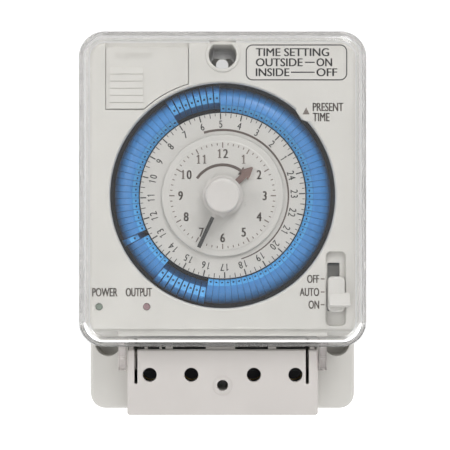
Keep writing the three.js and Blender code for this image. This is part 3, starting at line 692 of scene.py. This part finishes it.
# ---------------------------------------------------------------------------------------------------------
# Trippers: 96 blue moulded wedges, one for each quarter of an hour. Each has a flat head with a dimple and
# a rounded back, and is clipped on the ring's bead, where it tips in or out. Those set out work the switch.
# ---------------------------------------------------------------------------------------------------------
TRIPPERS = 96
TRIPPER_STEP = 360 / TRIPPERS
FIRST_TRIPPER = -1.5
HALF_WEDGE = math.tan(math.radians(1.79))
SWING = math.radians(32.6)
HEAD_LOW, HEAD_HIGH = Vector((21.7, 39.62)), Vector((23.25, 41.52))
DIMPLE = 0.3
BACK_START, BACK_BEND, BACK_END = (24.0, 41.58), (27.2, 41.1), (28.1, 37.4)
blue_plastic = moulded("blue_plastic", (0.042, 0.232, 0.575), 0.36, 0.06, 0.06)
# The flat heads get a paler copy of the blue: a painted highlight where they face the lamps.
lit_head_blue = moulded("painted_highlight_head_blue", (0.08, 0.385, 0.785), 0.4, 0.06, 0.06)
# The dimples' faces take a much darker blue: painted shade in the recess.
dimple_shade_blue = moulded("painted_shade_dimple_blue", (0.006, 0.045, 0.16), 0.5)

section = [(22.9, 35.2), (22.85, 38.5), (21.95, 39.2), (21.74, 39.5), tuple(HEAD_LOW), tuple(HEAD_HIGH)]
section += [(23.4, 41.6), (23.9, 41.6)]
for step in range(10):
    share = step / 9
    pulls = ((1 - share) ** 2, 2 * share * (1 - share), share**2)
    corners = (BACK_START, BACK_BEND, BACK_END)
    section.append(tuple(sum(pull * corner[i] for pull, corner in zip(pulls, corners)) for i in (0, 1)))
section += [(28.05, 36.9), (27.0, 35.2), (25.5, 35.2), (25.5, 36.45), (24.95, 36.75), (24.4, 36.85)]
section += [(23.85, 36.75), (23.3, 36.45), (23.3, 35.2)]
CENTRE = (25.0, 38.6)
rings = []
for side, draw in ((-1, 0.022), (-0.93, 0), (0.93, 0), (1, 0.022)):
    ring = []
    for radius, z in section:
        r = CENTRE[0] + (radius - CENTRE[0]) * (1 - draw)
        ring.append((side * r * HALF_WEDGE, r, CENTRE[1] + (z - CENTRE[1]) * (1 - draw)))
    rings.append(ring)
pattern = skin("tripper_pattern", rings)
slope = (HEAD_HIGH - HEAD_LOW).normalized()
outward = Vector((-slope.y, slope.x))
middle = HEAD_LOW.lerp(HEAD_HIGH, 0.48)
rings = []
for depth in (-0.3, 0.3):
    ring = []
    for step in range(12):
        turn = math.pi * step / 6
        r, z = middle + slope * DIMPLE * math.sin(turn) + outward * depth
        ring.append((DIMPLE * math.cos(turn), r, z))
    rings.append(ring)
cut(pattern, skin("tool", rings))
pattern_points = [(v.co.x * 1000, v.co.z * 1000, -v.co.y * 1000) for v in pattern.data.vertices]
pattern_faces = []
for face in pattern.data.polygons:
    x, z, r = face.center * 1000
    away = Vector((r, -z)) - middle
    depth = away.dot(outward)
    # Faces on the flat head take the paler blue, a painted highlight.
    on_head = abs(depth) < 0.02 and abs(away.dot(slope)) < 1.1
    # Faces inside the dimple take the painted shade blue.
    in_dimple = math.hypot(x, away.dot(slope)) < DIMPLE + 0.01 and -0.35 < depth < -0.02
    pattern_faces.append((list(face.vertices), 1 if in_dimple else 2 if on_head else 0))
bpy.data.objects.remove(pattern)


def add_tripper(form, quarter, out):
    """One tripper in its place on the ring, tipped in or out."""
    turn = math.radians(FIRST_TRIPPER + (quarter + 0.5) * TRIPPER_STEP)
    swing = SWING if out else 0.0
    corners = []
    for x, radius, z in pattern_points:
        across, up = radius - PIVOT_RADIUS, z - PIVOT_Z
        r = PIVOT_RADIUS + across * math.cos(swing) + up * math.sin(swing)
        height = PIVOT_Z + up * math.cos(swing) - across * math.sin(swing)
        face_x = r * math.sin(turn) + x * math.cos(turn)
        face_y = DIAL_Y + r * math.cos(turn) - x * math.sin(turn)
        corners.append(form.verts.new(in_frame((face_x, face_y, height))))
    for indices, index in pattern_faces:
        form.faces.new([corners[i] for i in indices]).material_index = index


def tripper_bank(name, first, count, out, body, node):
    form = bmesh.new()
    for quarter in range(first, first + count):
        add_tripper(form, quarter, out)
    bank = smooth(made(form, name), 38)
    dress(bank, blue_plastic, body, "blue_plastic", node)
    bank.data.materials.append(dimple_shade_blue)
    bank.data.materials.append(lit_head_blue)
    return bank


tripper_bank("trippers_in_long", 0, 51, False, "dial", "tripper_bank_long")
tripper_bank("trippers_out_bank", 51, 8, True, "dial", "tripper_bank_out")
tripper_bank("trippers_in_short", 59, 6, False, "dial", "tripper_bank_short")
tripper_bank("tripper_out_single", 65, 1, True, "pin_single", "tripper_single")
tripper_bank("trippers_in_middle", 66, 22, False, "dial", "tripper_bank_middle")
for i in range(8):
    tripper_bank(f"tripper_out_{i + 1}", 88 + i, 1, True, f"pin_{i + 1}", f"tripper_{i + 1}")


# ---------------------------------------------------------------------------------------------------------
# Hour scale: a white plastic disc inside the trippers that turns with them. It is printed in black with the
# 24 hours and their quarters, and in brown with an arc over the night hours.
# ---------------------------------------------------------------------------------------------------------
def flat_ring(name, walls, steps=144):
    """A ring with a hole, as a section of (radius, z) points turned about the dial's axis."""
    return skin(name, [disc(0, DIAL_Y, radius, z, steps) for radius, z in walls], closed=True)


def add_number(form, number, place, height, low, high, squeeze=0.8, weight=0.0, turn=0.0, foot=False):
    """A number set digit by digit, with a flag on each 1 and, if asked, a foot under it."""
    cosine, sine = math.cos(math.radians(turn)), math.sin(math.radians(turn))
    digits = str(number)
    pitch = height * squeeze * 0.86

    def spot(along, up):
        return place[0] + along * cosine + up * sine, place[1] - along * sine + up * cosine

    for position, digit in enumerate(digits):
        along = (position - (len(digits) - 1) / 2) * pitch
        if digit != "1":
            add_lettering(form, digit, spot(along, 0), height, low, high, None, squeeze, weight, 0.5, turn)
            continue
        stroke = height * 0.1 + 2 * weight
        add_bar(form, spot(along, -height / 2), spot(along, height / 2), stroke, low, high)
        flag_end = spot(along - height * 0.2, height * 0.27)
        add_bar(form, spot(along, height * 0.44), flag_end, stroke * 0.75, low, high)
        if foot:
            reach = height * 0.18
            level = -height * 0.46
            add_bar(form, spot(along - reach, level), spot(along + reach, level), height * 0.08, low, high)


def add_arc(form, radius, start, end, width_start, width_end, low, high, steps=72):
    """A band round the dial, whose width goes from one value to another."""
    rings = []
    for step in range(steps + 1):
        share = step / steps
        angle = start + (end - start) * share
        half = (width_start + (width_end - width_start) * share) / 2
        inner, outer = radius - half, radius + half
        corners = ((inner, low), (outer, low), (outer, high), (inner, high))
        rings.append([(*on_dial(angle, r), z) for r, z in corners])
    add_skin(form, rings)


scale_plastic = moulded("scale_plastic", (0.60, 0.585, 0.555), 0.4, 0.025, 0.05)
SCALE_TOP = DIAL.front
SCALE_RADIUS = DIAL.right
SCALE_BORE = 5.2
SCALE_PRINT = printed(SCALE_TOP)
walls = [(SCALE_BORE, DIAL.back), (SCALE_RADIUS, DIAL.back), (SCALE_RADIUS, SCALE_TOP - 0.15)]
walls += [(SCALE_RADIUS - 0.05, SCALE_TOP - 0.04), (SCALE_RADIUS - 0.16, SCALE_TOP)]
walls.append((SCALE_BORE, SCALE_TOP))
dress(smooth(flat_ring("hour_scale", walls)), scale_plastic, "dial", "white_plastic", "dial_plate")

TICK_END = 21.3
form = bmesh.new()
for quarter in range(TRIPPERS):
    angle = FIRST_TRIPPER + quarter * TRIPPER_STEP
    length, width = ((1.55, 0.32), (0.7, 0.17), (1.15, 0.2), (0.7, 0.17))[quarter % 4]
    add_bar(form, on_dial(angle, TICK_END - length), on_dial(angle, TICK_END), width, *SCALE_PRINT)
for step in range(24):
    hour = (5 - step - 1) % 24 + 1
    angle = FIRST_TRIPPER + 15 * step
    add_number(form, hour, on_dial(angle, 18.5), 1.85, *SCALE_PRINT, 0.78, 0.025, angle)
dress(made(form, "hour_scale_print"), black_ink, "dial", "dark_plastic")

brown_ink = ink("brown_ink", (0.095, 0.068, 0.058))
form = bmesh.new()
add_arc(form, 17.0, FIRST_TRIPPER - 15, FIRST_TRIPPER + 165, 0.62, 0.3, *SCALE_PRINT)
dress(made(form, "night_arc"), brown_ink, "dial", "brown_paint")


# ---------------------------------------------------------------------------------------------------------
# Clock face: a white plastic disc pressed on the bridge's fixed tube, so it stands still while the scale
# turns round it. Twelve numbers, sixty marks and an arc that shows which way to turn are printed on it.
# ---------------------------------------------------------------------------------------------------------
CLOCK = face_box("clock_face")
CLOCK_RADIUS = CLOCK.right
CLOCK_TOP = CLOCK.front
CLOCK_BORE = 2.9
CLOCK_PRINT = printed(CLOCK_TOP)
walls = [(CLOCK_BORE, CLOCK.back), (15.5, CLOCK.back), (CLOCK_RADIUS, CLOCK.back + 0.15)]
walls += [(CLOCK_RADIUS, CLOCK_TOP - 0.4), (15.55, CLOCK_TOP - 0.24), (15.3, CLOCK_TOP - 0.18)]
walls += [(14.35, CLOCK_TOP - 0.15), (14.15, CLOCK_TOP - 0.1), (14.0, CLOCK_TOP - 0.02)]
walls += [(13.85, CLOCK_TOP), (CLOCK_BORE, CLOCK_TOP)]
dress(smooth(flat_ring("clock_disc", walls)), scale_plastic, "case", "white_plastic", "clock_face")

form = bmesh.new()
for minute in range(60):
    length, width = (1.35, 0.3) if minute % 5 == 0 else (0.6, 0.24)
    end = 13.75 if minute % 5 == 0 else 13.6
    angle = 6 * minute
    add_bar(form, on_dial(angle, end - length), on_dial(angle, end), width, *CLOCK_PRINT)
for hour in range(1, 13):
    add_number(form, hour, on_dial(30 * hour, 10.85), 2.3, *CLOCK_PRINT, 0.78, 0.09, foot=True)
dress(made(form, "clock_print"), grey_ink, "case", "dark_plastic")

form = bmesh.new()
add_arc(form, 7.95, -56, 36, 0.72, 0.78, *CLOCK_PRINT, 36)
add_prism(form, (on_dial(35.5, 9.2), on_dial(48, 7.95), on_dial(35.5, 6.7)), *CLOCK_PRINT)
dress(made(form, "turn_arrow"), brown_ink, "case", "brown_paint")


# ---------------------------------------------------------------------------------------------------------
# Hands: the hour hand is a brown painted arrow on a pipe, the minute hand a black bar on a white plastic
# hub, and both end in a wheel of the train. An ivory knob pressed on the minute arbor sets the time.
# ---------------------------------------------------------------------------------------------------------
def along_hand(angle, points):
    """Points given along and across a hand, as face points."""
    turn = math.radians(angle)
    places = []
    for along, across in points:
        x = along * math.sin(turn) + across * math.cos(turn)
        y = DIAL_Y + along * math.cos(turn) - across * math.sin(turn)
        places.append((x, y))
    return places


def hand_blade(name, angle, outline, low, high):
    """A hand's flat blade, stamped with slightly rounded edges."""
    form = bmesh.new()
    add_prism(form, along_hand(angle, outline), low, high)
    piece = made(form, name)
    bevel = piece.modifiers.new("soft_edges", "BEVEL")
    bevel.width = 0.00006
    bevel.segments = 2
    settle(piece)
    return smooth(piece)


def add_gear(form, thickness, teeth, module, low, tip):
    """A toothed wheel about the dial's axis, whose slim teeth reach past its pitch circle by tip."""
    pitch_radius = teeth * module / 2
    ring = []
    for tooth in range(teeth):
        for share, reach in ((-0.3, -0.5), (-0.12, tip), (0.12, tip), (0.3, -0.5)):
            ring.append(on_dial(360 / teeth * (tooth + share), pitch_radius + reach))
    add_prism(form, ring, low, low + thickness)


HOUR_ANGLE = 46.5
MINUTE_ANGLE = 204.8
HOUR_Z = (41.95, 42.3)
brown_paint = moulded("brown_paint", (0.165, 0.105, 0.09), 0.4, 0.1, 0.08)
black_paint = moulded("black_paint", (0.028, 0.027, 0.026), 0.4, 0.1, 0.08)
knob_plastic = moulded("knob_plastic", (0.63, 0.605, 0.58), 0.35, 0.02, 0.05)

arrow = [(2.0, -0.8), (7.7, -0.8), (7.35, -1.45), (8.5, -1.3), (10.5, -0.25), (10.6, 0)]
arrow += [(10.5, 0.25), (8.5, 1.3), (7.35, 1.45), (7.7, 0.8), (2.0, 0.8)]
dress(hand_blade("hour_arrow", HOUR_ANGLE, arrow, *HOUR_Z), brown_paint, "hour", "brown_paint")
walls = [(1.6, 25.4), (2.5, 25.4), (2.5, HOUR_Z[1] - 0.1), (2.4, HOUR_Z[1]), (1.6, HOUR_Z[1])]
hour_pipe = flat_ring("hour_pipe", walls, 48)
form = bmesh.new()
form.from_mesh(hour_pipe.data)
bpy.data.objects.remove(hour_pipe)
add_gear(form, 1.2, 36, 0.48, 25.4, 0.36)
add_gear(form, 1.2, 24, 0.5, 27.1, 0.36)
dress(smooth(made(form, "hour_pipe_and_wheels")), gear_plastic, "hour", "white_plastic", "hour_hand")

bar = [(6.05, -0.5), (14.6, -0.5), (14.6, 0.5), (6.05, 0.5)]
dress(hand_blade("minute_bar", MINUTE_ANGLE, bar, 43.0, 43.4), black_paint, "minute", "dark_plastic")
hub = rod(0, DIAL_Y, 5.15, 42.9, 43.35, 0.12, 96)
arm = along_hand(MINUTE_ANGLE, [(3, -0.42), (6.05, -0.42), (6.05, 0.42), (3, 0.42)])
join(
    hub,
    skin("arm", [[(x, y, z) for x, y in arm] for z in (42.95, 43.3)]),
    rod(0, DIAL_Y - 5.05, 0.62, 42.9, 43.35, 0.12, 32),
    rod(0, DIAL_Y, 1.2, 20.2, 43.2, 0.1, 32),
)
hub.name = "minute_hub"
dress(smooth(hub), knob_plastic, "minute", "white_plastic")
form = bmesh.new()
add_gear(form, 1.0, 40, 0.45, 22.2, 0.33)
add_gear(form, 1.8, 12, 0.45, 23.1, 0.33)
dress(smooth(made(form, "minute_wheels")), gear_plastic, "minute", "white_plastic", "minute_hand")

KNOB = face_box("centre_knob")
KNOB_RADIUS, KNOB_EDGE = 4.36, 0.6
knob_walls = [(4.15, KNOB.back), (4.3, KNOB.back + 0.15), (KNOB_RADIUS, KNOB.front - 0.7)]
for turn in quarter_turn(6)[1:]:
    radius = KNOB_RADIUS - KNOB_EDGE * (1 - math.cos(turn))
    knob_walls.append((radius, KNOB.front - 0.7 + KNOB_EDGE * math.sin(turn)))
knob_walls += [(3.3, KNOB.front - 0.09), (2.4, KNOB.front - 0.14), (1.0, KNOB.front - 0.17)]
setting_knob = skin("setting_knob", [disc(0, DIAL_Y, radius, z, 96) for radius, z in knob_walls])
dress(smooth(setting_knob, 40), knob_plastic, "minute", "white_plastic", "centre_knob")


# ---------------------------------------------------------------------------------------------------------
# Battery compartment: a small nickel-plated cell lies between two spring contacts behind a sliding lid of
# the panel's grey plastic, which has thumb ribs, a raised word and an arrow each side of it.
# ---------------------------------------------------------------------------------------------------------
keep(["battery_cell", "battery_contact_left", "battery_contact_right"], steel, 0.15)
RIB_BOTTOM, RIB_PITCH, RIBS, RIB_RISE = 29.25, 1.82, 6, 0.3
RIB_LEFT, RIB_RIGHT = -28.9, -20.4
lid_walls = shoulder(LID.back, FACE, 0.05, 0.12, 3)
lid = skin("battery_slide", [lid_ring(grow, z, LID.top + grow) for grow, z in lid_walls])
saw = [(RIB_BOTTOM + RIBS * RIB_PITCH, FACE - 0.2), (RIB_BOTTOM, FACE - 0.2)]
for rib in range(RIBS):
    low = RIB_BOTTOM + rib * RIB_PITCH
    saw += [(low + 0.02, FACE + RIB_RISE - 0.1), (low + 0.12, FACE + RIB_RISE)]
    saw.append((low + RIB_PITCH, FACE + 0.09))
clip = skin("clip", [lid_ring(-0.2, z, LID.top) for z in (FACE - 0.5, FACE + 1)])
ribs = skin("ribs", [[(x, y, z) for y, z in saw] for x in (RIB_LEFT, RIB_RIGHT)])
fit(ribs, "INTERSECT", [clip])
join(lid, ribs)
dress(smooth(lid), grey_plastic, "lid", "grey_plastic", "battery_lid")
form = bmesh.new()
WORD_X = -22.9
add_lettering(form, "OPEN", (WORD_X, 43.2), 1.3, FACE - 0.05, FACE + 0.13, width=4.6)
for x in (WORD_X - 4, WORD_X + 4):
    for start in (42.5, 43.3):
        for wing in (-0.7, 0.7):
            add_bar(form, (x + wing, start), (x, start + 0.7), 0.22, FACE - 0.05, FACE + 0.12)
dress(made(form, "lid_word"), grey_plastic, "lid", "grey_plastic")


# ---------------------------------------------------------------------------------------------------------
# Case screws: four zinc-plated self-tapping screws with cross recesses, driven from the housing's back into
# the bosses behind the panel. Their heads sit sunk in round pockets.
# ---------------------------------------------------------------------------------------------------------
for number, (x, y) in enumerate(SCREW_PLACES, 1):
    head = face_box(f"case_screw_{number}")
    profile = [(1.5, head.back), (2.05, head.back + 0.2), (2.2, head.back + 0.55), (2.2, 1.6), (1.9, 1.9)]
    profile += [(1.2, 1.95), (1.2, 34.0), (0.3, head.front)]
    screw = skin(f"cross_screw_{number}", [disc(x, y, radius, z, 40) for radius, z in profile])
    bars = []
    for turn in (45, 135):
        along = Vector((math.cos(math.radians(turn)), math.sin(math.radians(turn)))) * 1.25
        across = Vector((-along.y, along.x)) * 0.22
        shape = [along + across, along - across, -along - across, -along + across]
        floor = [(x + p.x * 0.6, y + p.y * 0.6, 1.5) for p in shape]
        brim = [(x + p.x, y + p.y, head.back - 0.2) for p in shape]
        bars.append(skin("tool", [brim, floor]))
    cut(screw, *bars)
    dress(smooth(screw), steel, "case", "steel", f"case_screw_{number}")


# ---------------------------------------------------------------------------------------------------------
# Terminal cover: a cap over the wiring, moulded in a slightly warmer grey plastic. Two long slots make its
# sides springy so that it snaps on. Four holes let a screwdriver through, the lower fixing screw goes
# through the middle, and notches in its lower edge let the wires in.
# ---------------------------------------------------------------------------------------------------------
CAP = face_box("terminal_cover")
CAP_BOX = (CAP.left, CAP.right, CAP.bottom, CAP.top)
CAP_WALL = 1.6
CAP_SKIRT_BACK = 13.0
SCREW_Y = -39.7
HOLE_RADIUS = 1.85
cap = block("terminal_cap", CAP_BOX, 0.7, CAP_SKIRT_BACK, CAP.front, 0.1, 0.55)
cap_inside = CAP.front - CAP_WALL
hollow = (CAP.left + 1.4, CAP.right - 1.4, CAP.bottom + 1.4, CAP.top + 5)
hinge_room = (CAP.left - 1, CAP.right + 1, HINGE_Y - 2.6, CAP.top + 1)
wire_ways = [(x - 2.9, x + 2.9, CAP.bottom - 1, CAP.bottom + 2) for x in BAY_XS]
cut(
    cap,
    block("tool", hollow, 0.4, CAP_SKIRT_BACK - 1, cap_inside, 0.05, 0.3),
    block("tool", hinge_room, 0.1, 12, cap_inside, 0.05, 0.05),
    *[block("tool", way, 0.4, 12, 21, 0.05, 0.3) for way in wire_ways],
    *[drill(x, SCREW_Y, HOLE_RADIUS, 30, CAP.front, 0.14) for x in BAY_XS],
    drill(0, FIXING_Y, FIXING_RADIUS, 30, CAP.front - 0.12, 0.2),
    *[well((x - 0.42, x + 0.42, -42.1, CAP.top + 2), 0.3, 30, CAP.front, 0.08) for x in (-22.7, 22.2)],
)
cut(cap, drill(0, FIXING_Y, 2.55, CAP.front - 0.2, CAP.front, 0.05))
lugs = ((-24.6, -23.4), (-20.5, -19.7), (-16.6, -16.0), (-15.0, -13.1))
lugs += ((-4.4, 3.3), (12.0, 14.1), (22.9, 24.2))
lug_boxes = [(left, right, CAP.top - 0.5, CAP.top + 0.6) for left, right in lugs]
join(cap, *[block("lug", box, 0.1, 33.2, 34.6, 0.05, 0.1) for box in lug_boxes])
cap_plastic = moulded("warm_grey_plastic", (0.575, 0.545, 0.522), 0.46)
dress(smooth(cap), cap_plastic, "case", "grey_plastic", "terminal_cover")


# ---------------------------------------------------------------------------------------------------------
# Clear cover: a deep tray of clear polycarbonate over the whole panel. Its upper walls are slightly hazy
# and its ears are milky. It hinges on a short trunnion on each ear at its lower edge, and a tongue at the
# top snaps over the edge of the case.
# ---------------------------------------------------------------------------------------------------------
def clear_plastic(name, haze, clearness=1.0, tint=(0.985, 0.985, 0.98)):
    """Clear plastic that refracts what is seen through it and lets lamps light what is behind."""
    glass = bpy.data.materials.new(name)
    glass.use_nodes = True
    nodes, links = glass.node_tree.nodes, glass.node_tree.links
    shader = nodes["Principled BSDF"]
    shader.inputs["Base Color"].default_value = (*tint, 1)
    shader.inputs["Transmission Weight"].default_value = clearness
    shader.inputs["IOR"].default_value = 1.49
    shader.inputs["Roughness"].default_value = haze
    where = nodes.new("ShaderNodeTexCoord").outputs["Object"]
    ripple = noise(nodes, links, where, 120.0)
    bump = nodes.new("ShaderNodeBump")
    bump.inputs["Strength"].default_value = 0.02
    bump.inputs["Distance"].default_value = 0.0003
    links.new(ripple, bump.inputs["Height"])
    links.new(bump.outputs["Normal"], shader.inputs["Normal"])
    through = nodes.new("ShaderNodeBsdfTransparent")
    through.inputs["Color"].default_value = (0.97, 0.97, 0.97, 1)
    path = nodes.new("ShaderNodeLightPath")
    mix = nodes.new("ShaderNodeMixShader")
    links.new(path.outputs["Is Shadow Ray"], mix.inputs["Fac"])
    links.new(shader.outputs["BSDF"], mix.inputs[1])
    links.new(through.outputs["BSDF"], mix.inputs[2])
    links.new(mix.outputs["Shader"], nodes["Material Output"].inputs["Surface"])
    return glass


COVER = face_box("clear_cover")
COVER_RIM_Z = 36.3
COVER_BOX = (-37.6, 37.6, -32.3, 50.0)
COVER_WALL = 1.5
COVER_CORNER = 6.5
COVER_DRAFT = 0.105
COVER_EDGE = 2.5
EAR_INNER, EAR_OUTER = 25.4, 27.2
TRUNNION_RADIUS = 0.9


def cover_ring(z, inset):
    lean = COVER_DRAFT * (z - COVER_RIM_Z)
    left, right, bottom, top = COVER_BOX
    box = (left + lean, right - lean, bottom + lean, top - lean)
    return rounded(box, COVER_CORNER, z, -inset, 12)


def cover_edge(front, radius, inset):
    turns = quarter_turn(8)
    return [(front - radius * (1 - math.sin(a)), inset + radius * (1 - math.cos(a))) for a in turns]


outside = [(COVER_RIM_Z, 0.15), (COVER_RIM_Z + 0.15, 0.0), *cover_edge(COVER.front, COVER_EDGE, 0.0)]
inside = [(COVER_RIM_Z, COVER_WALL - 0.1), (COVER_RIM_Z + 0.1, COVER_WALL)]
inside += cover_edge(COVER.front - COVER_WALL, COVER_EDGE - COVER_WALL + 0.3, COVER_WALL)
shell = skin("clear_hinged_cover", [cover_ring(z, inset) for z, inset in inside[::-1] + outside])
trunnion = []
for degrees in range(0, 360, 15):
    turn = math.radians(degrees)
    across, up = TRUNNION_RADIUS * math.cos(turn), TRUNNION_RADIUS * math.sin(turn)
    trunnion.append((HINGE_Y + across, HINGE_Z + up))
parts = []
for side in (-1, 1):
    left, right = sorted((side * EAR_INNER, side * EAR_OUTER))
    ear = [(-31.3, COVER_RIM_Z + 1.0), (-31.3, COVER_RIM_Z - 2.2)]
    ear += [(-33.0, HINGE_Z + 0.6), (HINGE_Y + 1.6, HINGE_Z - 1.2)]
    for step in range(9):
        turn = math.radians(-40 - 130 * step / 8)
        ear.append((HINGE_Y + 1.9 * math.cos(turn), HINGE_Z + 1.9 * math.sin(turn)))
    ear += [(HINGE_Y - 1.9, COVER_RIM_Z - 0.4), (HINGE_Y - 1.5, COVER_RIM_Z + 1.0)]
    parts.append(along_x("ear", ear, left, right, 0.1))
    pin_left, pin_right = sorted((side * (EAR_INNER + 0.3), side * 23.1))
    parts.append(along_x("trunnion", trunnion, pin_left, pin_right, 0.1))
TONGUE = (-3.5, 3.5, 46.95, 49.2)
parts.append(block("tongue", TONGUE, 0.2, COVER_RIM_Z + 0.12, COVER_RIM_Z + 1.3, 0.05, 0.1))
join(shell, *parts)
clear = clear_plastic("clear_polycarbonate", 0.0)
milky = clear_plastic("milky_polycarbonate", 0.4, 0.3, (0.96, 0.92, 0.905))
# The tongue's dark grey is painted shade for the catch slot behind it.
tongue_painted_shade = clear_plastic("painted_shade_polycarbonate", 0.4, 0.3, (0.36, 0.345, 0.33))
hazy = clear_plastic("hazy_wall_polycarbonate", 0.1, 0.75, (0.95, 0.94, 0.93))
dress(smooth(shell, 25), clear, "cover", "clear_plastic", "clear_cover")
shell.data.materials.append(milky)
shell.data.materials.append(tongue_painted_shade)
shell.data.materials.append(hazy)
for face in shell.data.polygons:
    place = face.center * 1000
    on_ear = -place.y < COVER_RIM_Z - 0.05
    on_tongue = abs(place.x) < 3.6 and place.z > 46.9 and -place.y < 37.7
    on_wall = abs(face.normal.y) < 0.5 and place.z > -26
    if on_ear:
        face.material_index = 1
    # The tongue takes the painted shade.
    elif on_tongue:
        face.material_index = 2
    elif on_wall:
        face.material_index = 3


# ---------------------------------------------------------------------------------------------------------
# Studio: a plain white floor well below the switch, a white surround, a large soft lamp above and in front,
# a weaker one from the left, and the camera straight in front with a long lens.
# ---------------------------------------------------------------------------------------------------------
FLOOR_REACH = 1.5
FLOOR_LEVEL = -0.25
SURROUND_LIGHT = 0.66
BACKDROP_LIGHT = 1.1
form = bmesh.new()
bmesh.ops.create_grid(form, x_segments=1, y_segments=1, size=FLOOR_REACH)
floor = made(form, "floor")
floor.location = (0, 0, FLOOR_LEVEL)

floor_paint = bpy.data.materials.new("floor_paint")
floor_paint.use_nodes = True
nodes, links = floor_paint.node_tree.nodes, floor_paint.node_tree.links
floor_shader = nodes["Principled BSDF"]
floor_shader.inputs["Base Color"].default_value = (0.8, 0.8, 0.8, 1)
floor_shader.inputs["Roughness"].default_value = 0.8
floor_shader.inputs["Emission Color"].default_value = (1, 1, 1, 1)
path = nodes.new("ShaderNodeLightPath")
unlit = nodes.new("ShaderNodeMath")
unlit.operation = "LESS_THAN"
unlit.inputs[1].default_value = 0.5
links.new(path.outputs["Diffuse Depth"], unlit.inputs[0])
links.new(unlit.outputs["Value"], floor_shader.inputs["Emission Strength"])
floor.data.materials.append(floor_paint)

scene = bpy.context.scene
world = bpy.data.worlds.new("white_surround")
world.use_nodes = True
nodes, links = world.node_tree.nodes, world.node_tree.links
background = nodes["Background"]
background.inputs["Color"].default_value = (1, 1, 1, 1)
path = nodes.new("ShaderNodeLightPath")
strength = nodes.new("ShaderNodeMapRange")
strength.inputs["To Min"].default_value = SURROUND_LIGHT
strength.inputs["To Max"].default_value = BACKDROP_LIGHT
links.new(path.outputs["Is Camera Ray"], strength.inputs["Value"])
links.new(strength.outputs["Result"], background.inputs["Strength"])
scene.world = world
scene.view_settings.view_transform = "Standard"


def lamp(name, place, size, power, aim=(0, -0.03, 0)):
    light = bpy.data.lights.new(name, "AREA")
    light.shape = "DISK"
    light.size = size
    light.energy = power
    holder = bpy.data.objects.new(name, light)
    holder.location = place
    holder.rotation_euler = (Vector(aim) - Vector(place)).to_track_quat("-Z", "Y").to_euler()
    scene.collection.objects.link(holder)


lamp("key_lamp", (0.35, -0.75, 0.85), 0.5, 4.0)
lamp("fill_lamp", (-0.8, -0.7, 0.2), 0.6, 1.75)

CAMERA_PLACE = (-0.0012, -0.402, 0.0061)
camera = bpy.data.cameras.new("camera")
camera.lens = 111.84
camera.sensor_width = 36
camera.shift_x = 0.0156
camera.shift_y = -0.0556
camera.clip_start = 0.01
camera_holder = bpy.data.objects.new("camera", camera)
camera_holder.location = CAMERA_PLACE
camera_holder.rotation_euler = (math.pi / 2, 0, 0)
scene.collection.objects.link(camera_holder)
scene.camera = camera_holder
